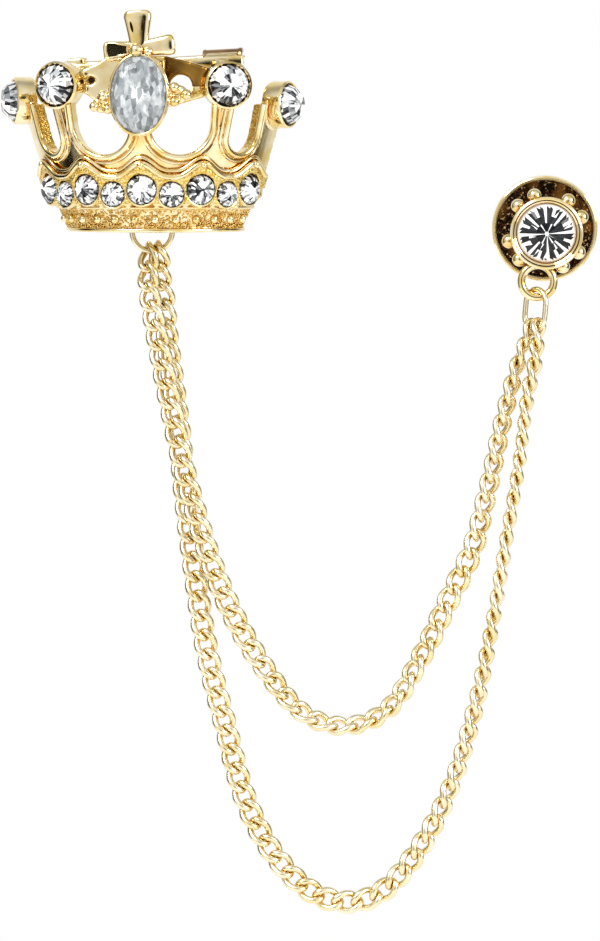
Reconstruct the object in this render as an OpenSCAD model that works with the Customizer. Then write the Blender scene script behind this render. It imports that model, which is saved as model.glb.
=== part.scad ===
// Lapel chain: a crown brooch and a round stud joined by two curb-chain strands.
// Millimetres. X right, Y back (into the cloth), Z up. The origin is the middle of the brooch pin.

/* [Crown body] */
// radius of the crown's open ring in plan, at the row of stones
plan_radius = 11.65; // [11.5:0.05:11.8]
// half of the angle that the open ring spans
plan_half_angle = 75; // [74:0.5:76]
// turn of the whole crown to the wearer's right
crown_turn = 7; // [6:0.5:8]
// height of the band's lower edge below the pin
crown_drop = 17.6; // [17.4:0.1:17.8]
// height of the granulated band
band_height = 2.7; // [2.6:0.05:2.8]
// thickness of the band
band_wall = 0.9; // [0.8:0.05:1]
// how much narrower the band's lower edge is than the stone row
band_inset = 2.25; // [2.1:0.05:2.35]
// how far the band widens from its lower to its upper edge
band_flare = 1.15; // [1:0.05:1.2]
// thickness of the upper wall between the mouldings
crown_wall = 0.7; // [0.6:0.05:0.8]
// outward lean of the upper wall, millimetres per millimetre of height
wall_lean = 0.3; // [0.28:0.01:0.32]

/* [Crown ornament] */
// height of the ridge's peaks above the band's lower edge
ridge_peak = 7.1; // [7:0.05:7.2]
// height of the ridge's valleys above the band's lower edge
ridge_valley = 5.7; // [5.6:0.05:5.8]
// how far the lower ridge stands out of the wall
ridge_relief = 0.75; // [0.7:0.05:0.85]
// height of the lowest point of the arches
arch_bottom = 7.9; // [7.8:0.05:8]
// radius of the two front arches
front_arch_radius = 3.2; // [3.1:0.05:3.3]
// radius of the two side arches
side_arch_radius = 1.9; // [1.8:0.05:2]
// width of the raised moulding around the arches
arch_moulding = 0.55; // [0.5:0.05:0.6]
// radius of the beads on the band
band_bead_radius = 0.46; // [0.42:0.02:0.5]
// radius of the trefoil beads
trefoil_bead_radius = 0.5; // [0.46:0.02:0.54]
// radius of the bead in the middle of the cross
cross_bead_radius = 0.66; // [0.6:0.02:0.7]
// thickness of the cross
cross_thickness = 1.3; // [1.2:0.1:1.4]

/* [Stones] */
// diameter of the larger stones of the row
row_large = 3.06; // [3:0.02:3.1]
// diameter of the smaller stones of the row
row_small = 2.56; // [2.5:0.02:2.6]
// distance between the stones of the row, along the stone row
row_pitch = 2.92; // [2.9:0.01:2.96]
// diameter of the four stones on the spikes
spike_stone = 4.2; // [4.1:0.05:4.3]
// height of the spike stones above their cups
spike_stone_rise = 1.45; // [1.3:0.05:1.5]
// width of the oval stone
oval_width = 5.5; // [5.4:0.05:5.6]
// height of the oval stone
oval_height = 7.75; // [7.65:0.05:7.85]
// diameter of the stud's stone
stud_stone_diameter = 6.2; // [6.1:0.05:6.3]
// gap around every stone in its setting
stone_gap = 0.05; // [0.04:0.01:0.07]

/* [Pin] */
// diameter of the pin's stem
stem_diameter = 0.76; // [0.7:0.02:0.8]
// how much the pin rises from its hinge to its catch
pin_rise = 3; // [2:0.5:4]
// distance from the pin's hinge to the crown's middle
hinge_offset = 8; // [7.9:0.1:8.2]
// length of the pin's catch
catch_length = 4; // [3.8:0.1:4.2]
// outer diameter of the catch
catch_diameter = 1.7; // [1.66:0.02:1.8]
// diameter of the hinge rivet
rivet_diameter = 0.7; // [0.66:0.02:0.74]
// running clearance of the rivet and of the stud's post, on the radius
running_gap = 0.05; // [0.03:0.01:0.07]

/* [Rings] */
// diameter of the ring under the crown, at the middle of its wire
crown_ring_diameter = 4.16; // [4.1:0.02:4.22]
// wire of the ring under the crown
crown_ring_wire = 0.6; // [0.56:0.02:0.62]
// diameter of the stud's loop, at the middle of its wire
stud_loop_diameter = 3.36; // [3.3:0.02:3.4]
// wire of the stud's loop
stud_loop_wire = 0.84; // [0.8:0.02:0.86]
// length of the oval link, at the middle of its wire
oval_link_length = 4.16; // [4.12:0.02:4.2]
// width of the oval link, at the middle of its wire
oval_link_width = 2.8; // [2.76:0.02:2.84]
// wire of the oval link
oval_link_wire = 0.58; // [0.54:0.02:0.6]

/* [Chains] */
// wire of the chain links
link_wire = 0.5; // [0.46:0.01:0.52]
// length of a link, at the middle of its wire
link_length = 2.82; // [2.79:0.01:2.84]
// width of a link, at the middle of its wire
link_width = 1.84; // [1.78:0.02:1.88]
// twist of a link from end to end
link_twist = 100; // [96:1:104]
// links of the shorter strand
short_links = 51; // [50:1:52]
// links of the longer strand
long_links = 69; // [68:1:70]

/* [Stud] */
// outer diameter of the stud's stone cup
stud_diameter = 7.5; // [7.4:0.05:7.7]
// radius of the beads around the stud
stud_bead_radius = 0.76; // [0.7:0.02:0.8]
// diameter of the stud's post
post_diameter = 1.1; // [1:0.05:1.2]
// length of the post behind the cloth
post_length = 8; // [7.5:0.25:8.5]
// diameter of the clutch's dish
clutch_diameter = 11; // [10.8:0.1:11.2]
// depth of the clutch's dish
clutch_depth = 1.9; // [1.7:0.1:2.1]
// thickness of the clutch's sheet
clutch_wall = 0.5; // [0.45:0.05:0.6]
// diameter of the clutch's hub
hub_diameter = 4.4; // [4.2:0.1:4.8]
// downward tilt of the stud
stud_tilt = 4; // [3:0.5:5]

/* [Hidden] */
$fn = 96;

gold = [0.91, 0.76, 0.42];
clear = [0.86, 0.89, 0.93];
eps = 0.01;

// Plan of the crown: an arc around this point, its stone row this far before the pin.
row_front = 9.4;
plan_centre = [0, plan_radius - row_front];

// Heights and offsets are counted from the band's lower edge and from the stone row's plan.
large_height = 4.4;
small_height = 3.9;
inner_spike_angle = 39.5;
outer_spike_angle = 70;
inner_cup_height = 15.1;
inner_cup_turn = 20;
outer_cup_height = 13.3;
cup_wall = 0.3;
cup_length = 2;
cup_floor = 0.6;
inner_cup_offset = 1.4;
outer_cup_offset = 1.6;
// how much higher the left outer cup stands, and lower the right one
outer_cup_step = 0.2;
valley_radius = 4;
front_arch_angle = 18;
side_arch_angle = 48.2;
wall_top = 13.2;
spike_end_angle = outer_spike_angle + 4.5;
ridge_end_angle = plan_half_angle - 4;

// The back of the oval's cup and of what stands beside it.
oval_height_above = 14.15;
oval_back = -10.8;
oval_rim = 0.35;
bridge_back = -7.8;
oval_cup_depth = 1.5;

// Pin bar, hinge and catch, at the back of the crown.
bar_back = -1.75;
bar_thickness = 0.8;
ear_thickness = 0.3;
eye_height = 0.7;
eye_radius = 0.95;
ear_gap = 0.1;
catch_start = 5.1;
// The bar's two arms, and how far over the inner cups' middles they start.
pin_arm_offset = 7.4;
pin_arm_front = 8.5;
pin_arm_width = 1;
pin_arm_reach = 2.1;
pin_arm_foot = 0.4;

// The cross over the pin, and how deep its foot sits in the oval's cup.
cross_rise = 0.95;
cross_height = 4.2;
cross_root = 1.75;
cross_tip = 2.9;
cross_foot = 2.1;
cross_seat = 1.925;

ring_centre = [-0.3, -2.9, -17.58];
loop_centre = [39.6, -3, -22.76];
link_centre = [39.375, -3, -25.68];
link_turn = 45;
link_lean = 5;
stud_centre = [40.47, 0, -17.45];

// Where the strands run: X, Y, Z and the links' roll about the strand.
short_route = [
    [-0.69, -3.09, -20.28, 36], [-0.68, -3.85, -22.91, 32], [-0.39, -4.08, -25.12, 31],
    [0.47, -4.10, -29.78, 20], [1.48, -3.97, -34.96, 14], [3.04, -3.90, -42.31, 22],
    [5.46, -3.60, -50.80, 17], [7.99, -3.28, -57.19, -7], [11.38, -2.97, -63.03, -31],
    [15.27, -2.88, -67.56, -50], [19.85, -2.63, -68.97, -56], [24.29, -2.96, -67.05, -53],
    [27.75, -3.00, -61.48, -37], [30.41, -2.73, -55.91, -20], [32.90, -2.60, -50.61, 23],
    [34.44, -3.00, -44.58, 44], [36.01, -2.83, -37.31, 55], [37.21, -2.73, -32.59, 68],
    [38.06, -2.75, -29.71, 85], [38.60, -2.69, -28.23, 76]
];
long_route = [
    [0.43, -2.77, -20.17, 37], [0.63, -2.10, -23.09, 29], [0.98, -1.92, -25.03, 29],
    [1.31, -1.72, -29.20, 23], [2.44, -1.82, -38.22, 6], [3.01, -1.60, -44.42, -7],
    [3.77, -1.62, -50.81, -5], [5.26, -1.85, -60.91, -5], [7.17, -2.17, -68.71, -8],
    [9.23, -2.05, -76.45, -3], [11.97, -2.37, -81.96, -7], [15.56, -2.40, -85.91, -8],
    [19.51, -2.52, -87.41, -3], [23.53, -2.57, -86.32, 6], [27.33, -2.70, -81.93, 26],
    [30.64, -2.48, -75.47, 53], [33.05, -2.95, -67.67, 61], [34.79, -2.80, -59.44, 77],
    [36.40, -3.32, -49.56, 83], [37.75, -3.16, -41.33, 92], [38.53, -3.73, -34.89, 78],
    [39.26, -3.84, -31.32, 75], [39.59, -3.41, -28.19, 74]
];
route_steps = 12;
wire_sides = 5;
loop_steps = 10;

// Plan angle at a distance along the stone row, measured from the front.
function angle_at(s) = s / plan_radius * 180 / PI;
function plan_point(a, d) = plan_centre + (plan_radius + d) * [sin(a), -cos(a)];
// Outward offset of the upper wall's face at a height.
function wall_at(h) = (h - large_height) * wall_lean;

// Sweeps an outline of [offset, height] points along the crown's plan.
module sweep(outline, half_angle = plan_half_angle) {
    translate([0, plan_centre.y, 0]) rotate([0, 0, -90 - half_angle])
        rotate_extrude(angle = 2 * half_angle) translate([plan_radius, 0]) polygon(outline);
}

// Stands children on the crown's face: local Z points out, local Y up.
module on_face(a, d, h) {
    p = plan_point(a, d);
    translate([p.x, p.y, h]) rotate([0, 0, a]) rotate([90, 0, 0]) children();
}

// Band of wall between two heights, from an inner to an outer offset of its leaning face.
module leaning_wall(h0, h1, inner, outer, half_angle = plan_half_angle) {
    sweep([
        [wall_at(h0) - inner, h0], [wall_at(h0) + outer, h0],
        [wall_at(h1) + outer, h1], [wall_at(h1) - inner, h1]
    ], half_angle);
}

// The space of one arch: round below and open upward, reaching through the wall.
module arch(a, r, lowest) {
    on_face(a, 0, lowest + r) translate([0, 0, -3.2]) {
        cylinder(r = r, h = 9);
        translate([-r, 0, 0]) cube([2 * r, 9, 9]);
    }
}

module all_arches(extra) {
    for (side = [-1, 1]) {
        arch(side * front_arch_angle, front_arch_radius + extra, arch_bottom - extra);
        arch(side * side_arch_angle, side_arch_radius + extra, arch_bottom + 0.2 - extra);
    }
}

// One step of the scalloped ridge over the stones.
module ridge(relief, rise) {
    difference() {
        leaning_wall(large_height, ridge_peak + rise, crown_wall, relief, ridge_end_angle);
        for (a = [angle_at(row_pitch), angle_at(3 * row_pitch), angle_at(5 * row_pitch)], side = [-1, 1])
            on_face(side * a, -valley_radius, ridge_valley + rise + valley_radius)
                cylinder(r = valley_radius, h = 2 * valley_radius + 1);
    }
}

// Small ball on the face, its poles up and down.
module bead(r) {
    rotate([90, 0, 0]) sphere(r = r, $fn = 32);
}

// Round setting in the face for a stone, from its floor to its rim.
module collar(r, length) {
    cylinder(r = r + stone_gap + 0.22, h = length);
}

module pocket(r, floor_height, length) {
    translate([0, 0, floor_height]) cylinder(r = r + stone_gap, h = length);
}

module at_row_stone(i) {
    large = i % 2 == 0;
    on_face(angle_at((i - 4) * row_pitch), -0.6, large ? large_height : small_height) children();
}

module at_spike_cup(i) {
    side = i % 2 == 0 ? -1 : 1;
    inner = i < 2;
    a = side * (inner ? inner_spike_angle : outer_spike_angle);
    p = plan_point(a, inner ? inner_cup_offset : outer_cup_offset);
    translate([p.x, p.y, inner ? inner_cup_height : outer_cup_height - side * outer_cup_step])
        rotate([0, 0, side * (inner ? inner_cup_turn : outer_spike_angle)])
            rotate([90, 0, 0]) children();
}

module at_oval() {
    translate([0, oval_back, oval_height_above]) rotate([90, 0, 0]) children();
}

module at_crown() {
    rotate([0, 0, -crown_turn]) translate([0, 0, -crown_drop]) children();
}

// Tilts the pin about its middle.
module at_pin() {
    translate([0, 0, crown_drop]) rotate([0, -pin_rise, 0]) translate([0, 0, -crown_drop]) children();
}

module at_stud() {
    translate(stud_centre) rotate([stud_tilt, 0, 0]) rotate([90, 0, 0]) children();
}

function ellipse(rx, ry, n) = [for (i = [0 : n - 1]) [rx * cos(360 * i / n), ry * sin(360 * i / n)]];

// One flared arm of the cross, growing upward from its middle.
module cross_arm(length, root, tip) {
    corner = 0.35;
    translate([0, 0, -cross_thickness / 2]) linear_extrude(cross_thickness)
        polygon([
            [-root / 2, 0], [root / 2, 0], [tip / 2 - 0.05, length * 0.8],
            [tip / 2, length - corner], [tip / 2 - corner, length],
            [corner - tip / 2, length], [-tip / 2, length - corner],
            [0.05 - tip / 2, length * 0.8]
        ]);
}

module cross() {
    middle = crown_drop + cross_rise;
    seat = oval_height_above + oval_height / 2 + oval_rim - cross_seat;
    foot = max(cross_foot, middle - seat);
    translate([0, oval_back - 0.5, middle]) rotate([90, 0, 0]) rotate(3) {
        difference() {
            cross_arm(cross_height, cross_root, cross_tip);
            for (x = [-0.52, 0.62]) translate([x - 0.12, 2, 0.3]) cube([0.24, 1.2, 1]);
        }
        for (a = [-86, 93]) translate([0, 0.3, 0]) rotate(a) difference() {
            cross_arm(3.65, 1.5, 2.1);
            translate([-0.55, 0.9, cross_thickness / 2 - 0.25]) cube([1.1, 2.35, 1]);
        }
        translate([0, (0.3 - foot) / 2, 0]) cube([1.9, foot + 0.3, cross_thickness], center = true);
        translate([0, 0, cross_thickness / 2]) sphere(r = cross_bead_radius);
        translate([1.05, -0.1, cross_thickness / 2]) sphere(r = cross_bead_radius * 0.6);
    }
}

// Three beads on a small plate beside the oval stone.
module trefoil(x, y, turn) {
    spacing = trefoil_bead_radius * 1.5;
    translate([x, y, 0.35]) {
        cylinder(r = spacing * 1.3, h = 0.5);
        for (k = [0, 1, 2]) rotate(turn + 120 * k) translate([spacing, 0, 0.55])
            sphere(r = trefoil_bead_radius);
    }
}

// Pierced plate that joins the inner cups behind the oval stone.
module bridge() {
    difference() {
        translate([0, bridge_back, 0]) rotate([90, 0, 0]) linear_extrude(0.8) polygon([
            [-8, 14.2], [-6.2, 14.3], [-4.6, 13.2], [-3, 12.6], [3, 12.9], [4.9, 13.5],
            [6.4, 13.9], [8, 14.3], [8, 16.6], [6.4, 17], [4.8, 17.5], [2.3, 18.1],
            [-2, 18.3], [-3.9, 17.9], [-5.2, 17.2], [-6.6, 16.6], [-8, 16.2]
        ]);
        translate([3.85, bridge_back + 1, 15]) rotate([90, 0, 0]) cylinder(r = 1.15, h = 3);
        translate([-5.5, bridge_back - 0.4, 15.6]) rotate([90, 0, 0]) cylinder(r = 0.45, h = 1);
    }
    // the web that holds the oval's cup in front of the plate
    translate([-2, oval_back - 0.3, 13.2]) cube([4, bridge_back - oval_back - 0.1, 4.4]);
}

// Bar with the pin's hinge and catch, on two arms from the inner cups.
module pin_bar() {
    bar_front = bar_back - bar_thickness;
    ear_inner = eye_height / 2 + ear_gap;
    bar_drop = 1.35;
    bar_height = 1.4;
    hinge_width = 1.8;
    translate([-hinge_offset - 0.6, bar_front, crown_drop - bar_drop])
        cube([hinge_offset + catch_start + catch_length + 1, bar_thickness, bar_height]);
    // upright behind the two ears
    translate([-hinge_offset - hinge_width / 2, bar_front, crown_drop - bar_drop])
        cube([hinge_width, bar_thickness, bar_drop + ear_inner + ear_thickness]);
    arm_foot = min(inner_cup_height + pin_arm_foot, crown_drop - pin_arm_reach);
    for (side = [-1, 1]) translate([side * pin_arm_offset - pin_arm_width / 2, -pin_arm_front, arm_foot])
        cube([pin_arm_width, pin_arm_front + bar_back - 0.2, crown_drop - 0.3 - arm_foot]);
    for (side = [-1, 1]) translate([-hinge_offset, 0, crown_drop + side * (ear_inner + ear_thickness / 2)]) {
        cylinder(d = hinge_width, h = ear_thickness, center = true);
        translate([-hinge_width / 2, bar_back - 0.2, -ear_thickness / 2])
            cube([hinge_width, -bar_back + 0.2, ear_thickness]);
    }
    translate([-hinge_offset, 0, crown_drop])
        cylinder(d = rivet_diameter, h = 2 * (ear_inner + ear_thickness) + 0.16, center = true);
    translate([catch_start, 0, crown_drop]) difference() {
        union() {
            rotate([0, 90, 0]) cylinder(d = catch_diameter, h = catch_length);
            translate([0.4, bar_back - 0.2, -0.4])
                cube([catch_length - 0.8, -bar_back - stem_diameter / 2 - 0.1, 0.8]);
        }
        translate([-1, 0, 0]) rotate([0, 90, 0])
            cylinder(d = stem_diameter + 0.34, h = catch_length + 2);
        translate([-1, 0, -stem_diameter / 2 - 0.1])
            cube([catch_length + 2, catch_diameter, stem_diameter + 0.2]);
    }
}

// Bar across the band's open back, with the loop that carries the ring.
module chain_bar() {
    half = plan_radius - band_inset - band_wall + 0.1;
    loop_height = crown_ring_diameter / 2 + ring_centre.z + crown_drop;
    low = min(0.6, loop_height - 1.5);
    high = max(band_height - 0.3, loop_height + 0.3);
    translate([-half, bar_back - 0.3, low]) cube([2 * half, bar_thickness, high - low]);
    translate([0.03, ring_centre.y + 0.05, loop_height])
        rotate([0, 90, 0]) rotate_extrude() translate([0.85, 0]) circle(r = 0.26, $fn = 32);
}

module band() {
    top_inset = band_inset - band_flare;
    sweep([
        [-band_inset - band_wall, 0], [-band_inset + 0.2, 0], [-band_inset + 0.26, 0.3],
        [-band_inset + 0.05, 0.36], [-top_inset - 0.12, band_height - 0.34],
        [-top_inset + 0.1, band_height - 0.28], [-top_inset + 0.14, band_height],
        [-top_inset - band_wall, band_height]
    ]);
    for (k = [-5.5 : 5.5]) on_face(12.2 * k, -(band_inset + top_inset) / 2 - 0.1, band_height / 2)
        bead(band_bead_radius);
}

module stone_gallery() {
    top_inset = band_inset - band_flare;
    sweep([
        [-top_inset - band_wall, band_height - 0.1], [-top_inset - 0.1, band_height - 0.1],
        [0.1, band_height + 0.9], [0.2, large_height + 0.6], [-crown_wall, large_height + 0.6]
    ]);
    for (i = [0 : 8]) at_row_stone(i) collar((i % 2 == 0 ? row_large : row_small) / 2, 1.35);
    for (i = [0 : 7]) on_face(angle_at((i - 3.5) * row_pitch), 0.25, small_height - 1.05)
        bead(0.33);
}

module oval_outline(extra, length) {
    linear_extrude(length) polygon(ellipse(oval_width / 2 + extra, oval_height / 2 + extra, 40));
}

module upper_wall() {
    difference() {
        union() {
            leaning_wall(large_height, wall_top, crown_wall, 0, spike_end_angle);
            intersection() {
                leaning_wall(large_height + 0.5, wall_top - eps, crown_wall + 0.55, 0.3, spike_end_angle);
                all_arches(arch_moulding);
            }
        }
        all_arches(0);
        at_oval() translate([0, 0, 0.45]) oval_outline(oval_rim - 0.1, 6);
    }
}

module crown() {
    color(gold) at_crown() difference() {
        union() {
            band();
            stone_gallery();
            ridge(ridge_relief, 0);
            ridge(ridge_relief - 0.32, 0.42);
            upper_wall();
            for (i = [0 : 2 : 8]) on_face(angle_at((i - 4) * row_pitch),
                wall_at(ridge_peak) + ridge_relief - 0.1, ridge_peak - 0.15)
                    bead(0.34);
            for (i = [0 : 3]) at_spike_cup(i) cylinder(r = spike_stone / 2 + cup_wall, h = cup_length);
            at_oval() oval_outline(oval_rim, oval_cup_depth);
            at_oval() {
                trefoil(-3.85, -0.95, 80);
                trefoil(4.05, 0, 0);
            }
            cross();
            bridge();
            at_pin() pin_bar();
            chain_bar();
        }
        for (i = [0 : 8]) at_row_stone(i)
            pocket((i % 2 == 0 ? row_large : row_small) / 2, 0.35, 5);
        for (i = [0 : 3]) at_spike_cup(i) pocket(spike_stone / 2, cup_floor, cup_length);
        at_oval() translate([0, 0, 0.5]) oval_outline(stone_gap, 6);
    }
}

// Cut stone: eight-sided table, sixteen-sided girdle, flat back. Local Z points out.
module cut_stone(rx, ry, rise, girdle, back) {
    rings = [
        [16, 0.6, -girdle - back], [16, 1, -girdle], [16, 1, 0], [8, 0.8, rise * 0.62], [8, 0.5, rise]
    ];
    points = [for (q = rings, i = [0 : q[0] - 1])
        [rx * q[1] * cos(360 * i / q[0]), ry * q[1] * sin(360 * i / q[0]), q[2]]];
    faces = concat(
        [[for (i = [15 : -1 : 0]) 15 - i]],
        [for (k = [0, 1], i = [0 : 15])
            [k * 16 + i, k * 16 + 16 + i, k * 16 + 16 + (i + 1) % 16, k * 16 + (i + 1) % 16]],
        [for (i = [0 : 7]) [32 + 2 * i, 48 + i, 32 + 2 * i + 1]],
        [for (i = [0 : 7]) [32 + 2 * i + 1, 48 + i, 48 + (i + 1) % 8]],
        [for (i = [0 : 7]) [32 + 2 * i + 1, 48 + (i + 1) % 8, 32 + (2 * i + 2) % 16]],
        [for (i = [0 : 7]) [48 + i, 56 + i, 56 + (i + 1) % 8, 48 + (i + 1) % 8]],
        [[for (i = [7 : -1 : 0]) 56 + i]]
    );
    polyhedron(points, faces);
}

module oval_stone() {
    color(clear) at_crown() at_oval() translate([0, 0, 1.5])
        cut_stone(oval_width / 2, oval_height / 2, 1.1, 0.25, 0.6);
}

module spike_stone_at(i) {
    color(clear) at_crown() at_spike_cup(i) translate([0, 0, cup_length - 0.15])
        cut_stone(spike_stone / 2, spike_stone / 2, spike_stone_rise + 0.15, 0.3, 0.6);
}

module row_stone_at(i) {
    r = (i % 2 == 0 ? row_large : row_small) / 2;
    color(clear) at_crown() at_row_stone(i) translate([0, 0, 1.25])
        cut_stone(r, r, 0.75, 0.25, 0.45);
}

module pin_stem() {
    tip = 1.6;
    reach = hinge_offset + catch_start + catch_length + 0.3;
    color(gold) at_crown() at_pin() translate([-hinge_offset, 0, crown_drop]) difference() {
        union() {
            cylinder(r = eye_radius, h = eye_height, center = true);
            rotate([0, 90, 0]) cylinder(d = stem_diameter, h = reach - tip);
            translate([reach - tip, 0, 0]) rotate([0, 90, 0])
                cylinder(d1 = stem_diameter, d2 = 0.2, h = tip);
        }
        cylinder(r = rivet_diameter / 2 + running_gap, h = 4, center = true);
    }
}

module crown_ring() {
    color(gold) translate(ring_centre) rotate([90, 0, 0])
        rotate_extrude() translate([crown_ring_diameter / 2, 0]) circle(d = crown_ring_wire, $fn = 32);
}

module stud_link() {
    r = oval_link_width / 2;
    straight = oval_link_length - oval_link_width;
    color(gold) translate(link_centre) rotate([0, link_lean, 0]) rotate([0, 0, -link_turn])
        for (end = [0, 180]) rotate([0, end, 0]) {
            translate([0, 0, straight / 2]) rotate([90, 0, 0])
                rotate_extrude(angle = 180) translate([r, 0]) circle(d = oval_link_wire, $fn = 32);
            translate([r, 0, 0]) cylinder(d = oval_link_wire, h = straight, center = true, $fn = 32);
        }
}

// Points of the smooth curve through a route, with the roll as a fourth value.
function route_points(q) = [
    for (i = [0 : len(q) - 2], k = [0 : route_steps - 1])
        let (
            t = k / route_steps,
            a = i > 0 ? q[i - 1] : 2 * q[0] - q[1],
            d = i < len(q) - 2 ? q[i + 2] : 2 * q[i + 1] - q[i],
            b = q[i],
            c = q[i + 1]
        )
        (2 * b + (c - a) * t + (2 * a - 5 * b + 4 * c - d) * t * t
            + (3 * b - a - 3 * c + d) * t * t * t) / 2,
    q[len(q) - 1]
];
function place_of(p) = [p[0], p[1], p[2]];
function lengths_along(p) = [
    for (i = 0, s = 0; i < len(p); s = s + (i + 1 < len(p) ? norm(place_of(p[i + 1] - p[i])) : 0), i = i + 1) s
];
// Tables of each coordinate against the length along the strand.
function route_tables(p, s) = [for (j = [0 : 3]) [for (i = [0 : len(p) - 1]) [s[i], p[i][j]]]];
function route_at(tables, s) = [for (t = tables) lookup(s, t)];
function unit(v) = v / norm(v);

// One link in its own axes: X along the strand, twisted from end to end.
link_points = [
    for (i = [0 : loop_steps - 1], j = [0 : wire_sides - 1])
        let (
            t = 360 * (i + 0.5) / loop_steps,
            x = link_length / 2 * cos(t),
            rho = link_width / 2 * sin(t),
            turn = -link_twist * x / link_length,
            across = [0, cos(turn), sin(turn)],
            through = [0, -sin(turn), cos(turn)],
            dx = -link_length / 2 * sin(t),
            along = unit([dx, 0, 0] + link_width / 2 * cos(t) * across
                - rho * link_twist * PI / 180 * dx / link_length * through),
            outward = [link_width / 2 * cos(t), 0, 0] + link_length / 2 * sin(t) * across,
            second = unit(cross(along, outward)),
            first = cross(second, along),
            w = 360 * j / wire_sides
        )
        [x, 0, 0] + rho * across + link_wire / 2 * (cos(w) * first + sin(w) * second)
];
link_faces = [
    for (i = [0 : loop_steps - 1], j = [0 : wire_sides - 1], half = [0, 1])
        let (
            n = (i + 1) % loop_steps,
            m = (j + 1) % wire_sides,
            p00 = i * wire_sides + j,
            p01 = i * wire_sides + m,
            p10 = n * wire_sides + j,
            p11 = n * wire_sides + m
        )
        half == 0 ? [p00, p11, p01] : [p00, p10, p11]
];

// Axes of the link at a length: along the strand, across it, and toward the viewer.
function link_frame(tables, s, whole) =
    let (
        here = route_at(tables, s),
        along = unit(place_of(route_at(tables, min(s + 0.6, whole)) - route_at(tables, max(s - 0.6, 0)))),
        across = unit(cross([0, -1, 0], along)),
        facing = cross(along, across),
        roll = here[3],
        y = cos(roll) * across + sin(roll) * facing,
        z = cos(roll) * facing - sin(roll) * across
    )
    [
        [along[0], y[0], z[0], here[0]], [along[1], y[1], z[1], here[1]],
        [along[2], y[2], z[2], here[2]], [0, 0, 0, 1]
    ];

module chain(route, count) {
    points = route_points(route);
    lengths = lengths_along(points);
    tables = route_tables(points, lengths);
    whole = lengths[len(lengths) - 1];
    for (k = [0 : count - 1])
        multmatrix(link_frame(tables, whole * k / (count - 1), whole))
            polyhedron(link_points, link_faces);
}

module short_chain() {
    color(gold) chain(short_route, short_links);
}

module long_chain() {
    color(gold) chain(long_route, long_links);
}

// Stone cup with its beads, the soldered loop and the post. Local Z points out of the stud.
module stud_head() {
    back = 1.3;
    front = 4.6;
    bead_circle = stud_diameter / 2 + 0.45;
    color(gold) {
        at_stud() {
            difference() {
                union() {
                    translate([0, 0, back]) cylinder(d = stud_diameter, h = front - back);
                    for (a = [23, 55, 108, 137, 194, 226, 296, 328]) rotate(a)
                        translate([bead_circle, 0, 2.9]) sphere(r = stud_bead_radius, $fn = 48);
                }
                translate([0, 0, front - 1.3])
                    cylinder(r = stud_stone_diameter / 2 + stone_gap, h = 2);
            }
            difference() {
                translate([0, 0, front - 0.5]) cylinder(d = stud_diameter - 0.5, h = 0.75);
                translate([0, 0, front - 1]) cylinder(r = stud_stone_diameter / 2 + stone_gap, h = 3);
            }
            translate([0, 0, -post_length]) cylinder(d = post_diameter, h = post_length + back + 0.2);
            translate([0, 0, -post_length - 1])
                cylinder(d1 = 0.3, d2 = post_diameter, h = 1);
        }
        translate(loop_centre) rotate([90, 0, 0]) rotate_extrude()
            translate([stud_loop_diameter / 2, 0]) circle(d = stud_loop_wire, $fn = 32);
    }
}

module stud_stone() {
    color(clear) at_stud() translate([0, 0, 4.05])
        cut_stone(stud_stone_diameter / 2, stud_stone_diameter / 2, 1.15, 0.2, 0.45);
}

// Dished clutch with its hub, on the post behind the cloth.
module clutch() {
    rim_front = -0.7;
    floor_back = rim_front - clutch_depth;
    hub_length = 2.6;
    color(gold) at_stud() difference() {
        union() {
            translate([0, 0, floor_back]) cylinder(d = clutch_diameter, h = clutch_depth);
            translate([0, 0, floor_back - hub_length]) cylinder(d = hub_diameter, h = hub_length + 0.1);
        }
        translate([0, 0, floor_back + clutch_wall])
            cylinder(d = clutch_diameter - 2 * clutch_wall + 0.2, h = clutch_depth + 1);
        translate([0, 0, floor_back - hub_length - 1])
            cylinder(r = post_diameter / 2 + running_gap, h = hub_length + clutch_depth + 3);
    }
}

crown();
oval_stone();
spike_stone_at(0);  // spike_stone_1
spike_stone_at(1);  // spike_stone_2
spike_stone_at(2);  // spike_stone_3
spike_stone_at(3);  // spike_stone_4
row_stone_at(0);  // row_stone_1
row_stone_at(1);  // row_stone_2
row_stone_at(2);  // row_stone_3
row_stone_at(3);  // row_stone_4
row_stone_at(4);  // row_stone_5
row_stone_at(5);  // row_stone_6
row_stone_at(6);  // row_stone_7
row_stone_at(7);  // row_stone_8
row_stone_at(8);  // row_stone_9
pin_stem();
crown_ring();
short_chain();
long_chain();
stud_link();
stud_head();
stud_stone();
clutch();
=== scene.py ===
import logging
import math
import random
from collections.abc import Sequence
from dataclasses import dataclass
from enum import Enum

import bmesh
import bpy
import numpy as np
from mathutils import Matrix, Vector


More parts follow.
